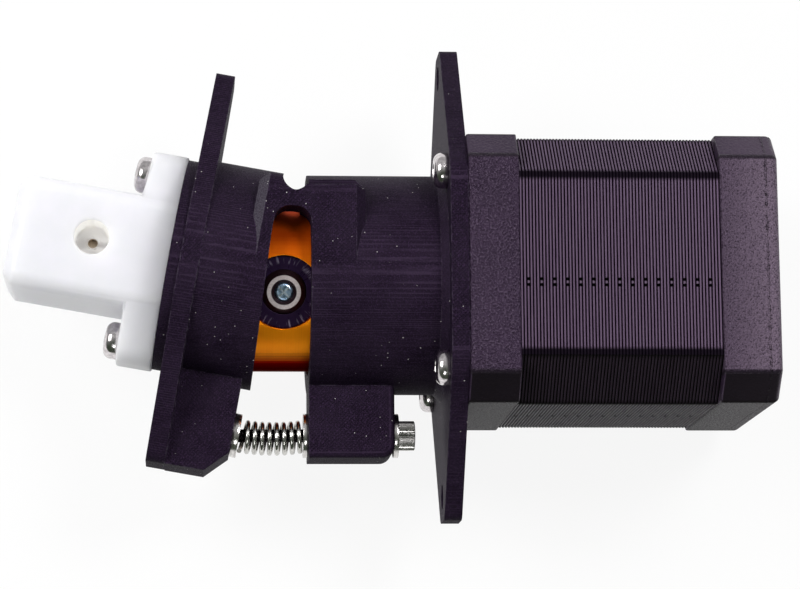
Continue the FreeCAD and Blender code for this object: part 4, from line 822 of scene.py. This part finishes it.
pin_finish, tree, shader = new_finish("blued_pin", (0.36, 0.46, 0.52), roughness=0.25, metallic=1.0)
across, outward, upward = about_pin(tree)
off_cross = distance(tree, combined(tree, "ABSOLUTE", across), combined(tree, "ABSOLUTE", upward))
blotch = mottle(tree, places(tree), grain=0.0006)
blued = drifting(tree, blotch, (0.26, 0.40, 0.58), (0.50, 0.66, 0.86), 0.35, 0.65)
cross = graded(tree, off_cross, *CROSS_WIDTH, 0.7, 0)
coloured(tree, shader, tinted(tree, cross, blued, (0.76, 0.84, 0.92)))
roughened(tree, shader, blotch, 0.2, 0.4)
softened("steel_pin", "drive_pin", JOINT_EDGE, pin_finish, "swivel")

# Tilt adjuster: a socket-head screw through the rear lug, with washers, a spring between the lugs
# and a square nut in the front lug. The screw's head is knurled and its rod is threaded.
SCREW_Z = -0.0242
WASHER_EDGE = 0.00008
KNURLS = 44
KNURL_ROOT = 0.955
HEAD_START = -0.00695
HEAD_RADIUS = 0.00235
HEAD_HEIGHT = 0.0025
HEAD_RIM = 0.00018
HEAD_CROWN = 0.00012
HEAD_FOOT = 0.95
SOCKET_RADIUS = 0.00115
SOCKET_DEPTH = 0.00125
SOCKET_RIM = 0.0003
ROD_RADIUS = 0.00115
THREAD_PITCH = 0.00045
THREAD_RELIEF = 0.0002
THREAD_CLEAR = (0.0003, 0.0002)
washer_steel = steel("bright_washer_steel", (0.72, 0.70, 0.68), roughness=0.2, along=(1, 0.2, 0.2),
                     grain=0.0003)
for name, node, body in (("screw_washer", "adjuster_washer", "base"),
                         ("spring_rear_washer", "rear_spring_washer", "base"),
                         ("spring_front_washer", "front_spring_washer", "head"),
                         ("square_nut", "tilt_nut", "head")):
    softened(name, node, WASHER_EDGE, washer_steel, body)


def pick_faces(piece, test):
    """Select only the faces that pass a test, ready for edit mode."""
    taken_up(piece)
    bpy.ops.object.mode_set(mode="EDIT")
    bpy.ops.mesh.select_mode(type="FACE")
    bpy.ops.mesh.select_all(action="DESELECT")
    bpy.ops.object.mode_set(mode="OBJECT")
    for face in piece.data.polygons:
        face.select = test(face)
    bpy.ops.object.mode_set(mode="EDIT")


rod_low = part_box("adjusting_screw")[0].x
deselect()
bpy.ops.mesh.primitive_cylinder_add(vertices=2 * KNURLS, radius=HEAD_RADIUS, depth=HEAD_HEIGHT,
                                    location=(HEAD_START + HEAD_HEIGHT / 2, 0, SCREW_Z),
                                    rotation=(0, math.radians(90), 0))
cap_screw = bpy.context.active_object
cap_screw.name = "knurled_screw"
bpy.ops.object.transform_apply(location=True, rotation=True, scale=True)
bpy.ops.object.mode_set(mode="EDIT")
bpy.ops.mesh.select_all(action="DESELECT")
bpy.ops.object.mode_set(mode="OBJECT")
for vertex in cap_screw.data.vertices:
    turn = math.atan2(vertex.co.y, vertex.co.z - SCREW_Z)
    vertex.select = round(turn / (math.pi / KNURLS)) % 2 == 0
bpy.ops.object.mode_set(mode="EDIT")
bpy.ops.transform.resize(value=(1, KNURL_ROOT, KNURL_ROOT),
                         center_override=(HEAD_START, 0, SCREW_Z))
bpy.ops.object.mode_set(mode="OBJECT")
pick_faces(cap_screw, lambda face: face.normal.x > 0.9)
bpy.ops.mesh.inset(thickness=HEAD_RIM)
bpy.ops.transform.translate(value=(HEAD_CROWN, 0, 0))
bpy.ops.mesh.inset(thickness=HEAD_RADIUS - SOCKET_RIM - SOCKET_RADIUS)
bpy.ops.mesh.extrude_region_move(TRANSFORM_OT_translate={"value": (-SOCKET_DEPTH, 0, 0)})
bpy.ops.object.mode_set(mode="OBJECT")
pick_faces(cap_screw, lambda face: face.normal.x < -0.9)
bpy.ops.mesh.inset(thickness=HEAD_RADIUS * HEAD_FOOT - ROD_RADIUS)
bpy.ops.mesh.extrude_region_move(TRANSFORM_OT_translate={"value": (rod_low - HEAD_START, 0, 0)})
bpy.ops.object.mode_set(mode="OBJECT")
smoothed(cap_screw, angle=20)
threaded = steel("threaded_screw_steel", (0.70, 0.68, 0.67), roughness=0.22, along=(0.3, 1, 1))
tree = threaded.node_tree
shader = tree.nodes["Principled BSDF"]
across = sides_of(tree, places(tree))[0]
rod_only = graded(tree, across, HEAD_START - THREAD_CLEAR[0], HEAD_START - THREAD_CLEAR[1], 1, 0)
thread = waves(tree, places(tree), "X", THREAD_PITCH, "TRI")
carved(tree, shader, masked(tree, thread, rod_only), THREAD_RELIEF)
# Painted shade: the threaded rod is painted dark where it lies inside the spring.
plain = shader.inputs["Base Color"].links[0].from_socket
coloured(tree, shader, tinted(tree, rod_only, plain, (0.10, 0.09, 0.10)))
settled(cap_screw, threaded, "adjuster", "adjusting_screw")

# Spring: drawn wire coiled round the screw between the two washers. Its front end is turned to
# sit on the leaning washer.
LEAN = math.radians(10)
SPRING_CLEAR = 0.00005
SPRING_END = 0.0007
wire = steel("spring_wire", (0.66, 0.65, 0.62), roughness=0.18, grain=0.0004)
spring_low, spring_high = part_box("tilt_spring")
seat_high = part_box("front_spring_washer")[1]
seat_end = seat_high.x - seat_high.y * math.sin(LEAN) + SPRING_CLEAR
length = spring_high.x - spring_low.x
coil = copied("tilt_coil", "tilt_spring")
bpy.ops.object.mode_set(mode="EDIT")
bpy.ops.mesh.select_mode(type="VERT")
bpy.ops.mesh.select_all(action="DESELECT")
bpy.ops.object.mode_set(mode="OBJECT")
for vertex in coil.data.vertices:
    vertex.select = vertex.co.x < spring_low.x + SPRING_END
bpy.ops.object.mode_set(mode="EDIT")
bpy.ops.transform.rotate(value=-LEAN, orient_axis="Y", center_override=(spring_low.x, 0, SCREW_Z),
                         use_proportional_edit=True, proportional_edit_falloff="LINEAR",
                         proportional_size=length)
bpy.ops.mesh.select_all(action="SELECT")
bpy.ops.transform.resize(value=((spring_high.x - seat_end) / length, 1, 1),
                         center_override=(spring_high.x, 0, SCREW_Z))
bpy.ops.object.mode_set(mode="OBJECT")
smoothed(coil, angle=60)
coated(coil, wire)
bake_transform(coil)
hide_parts("tilt_spring")
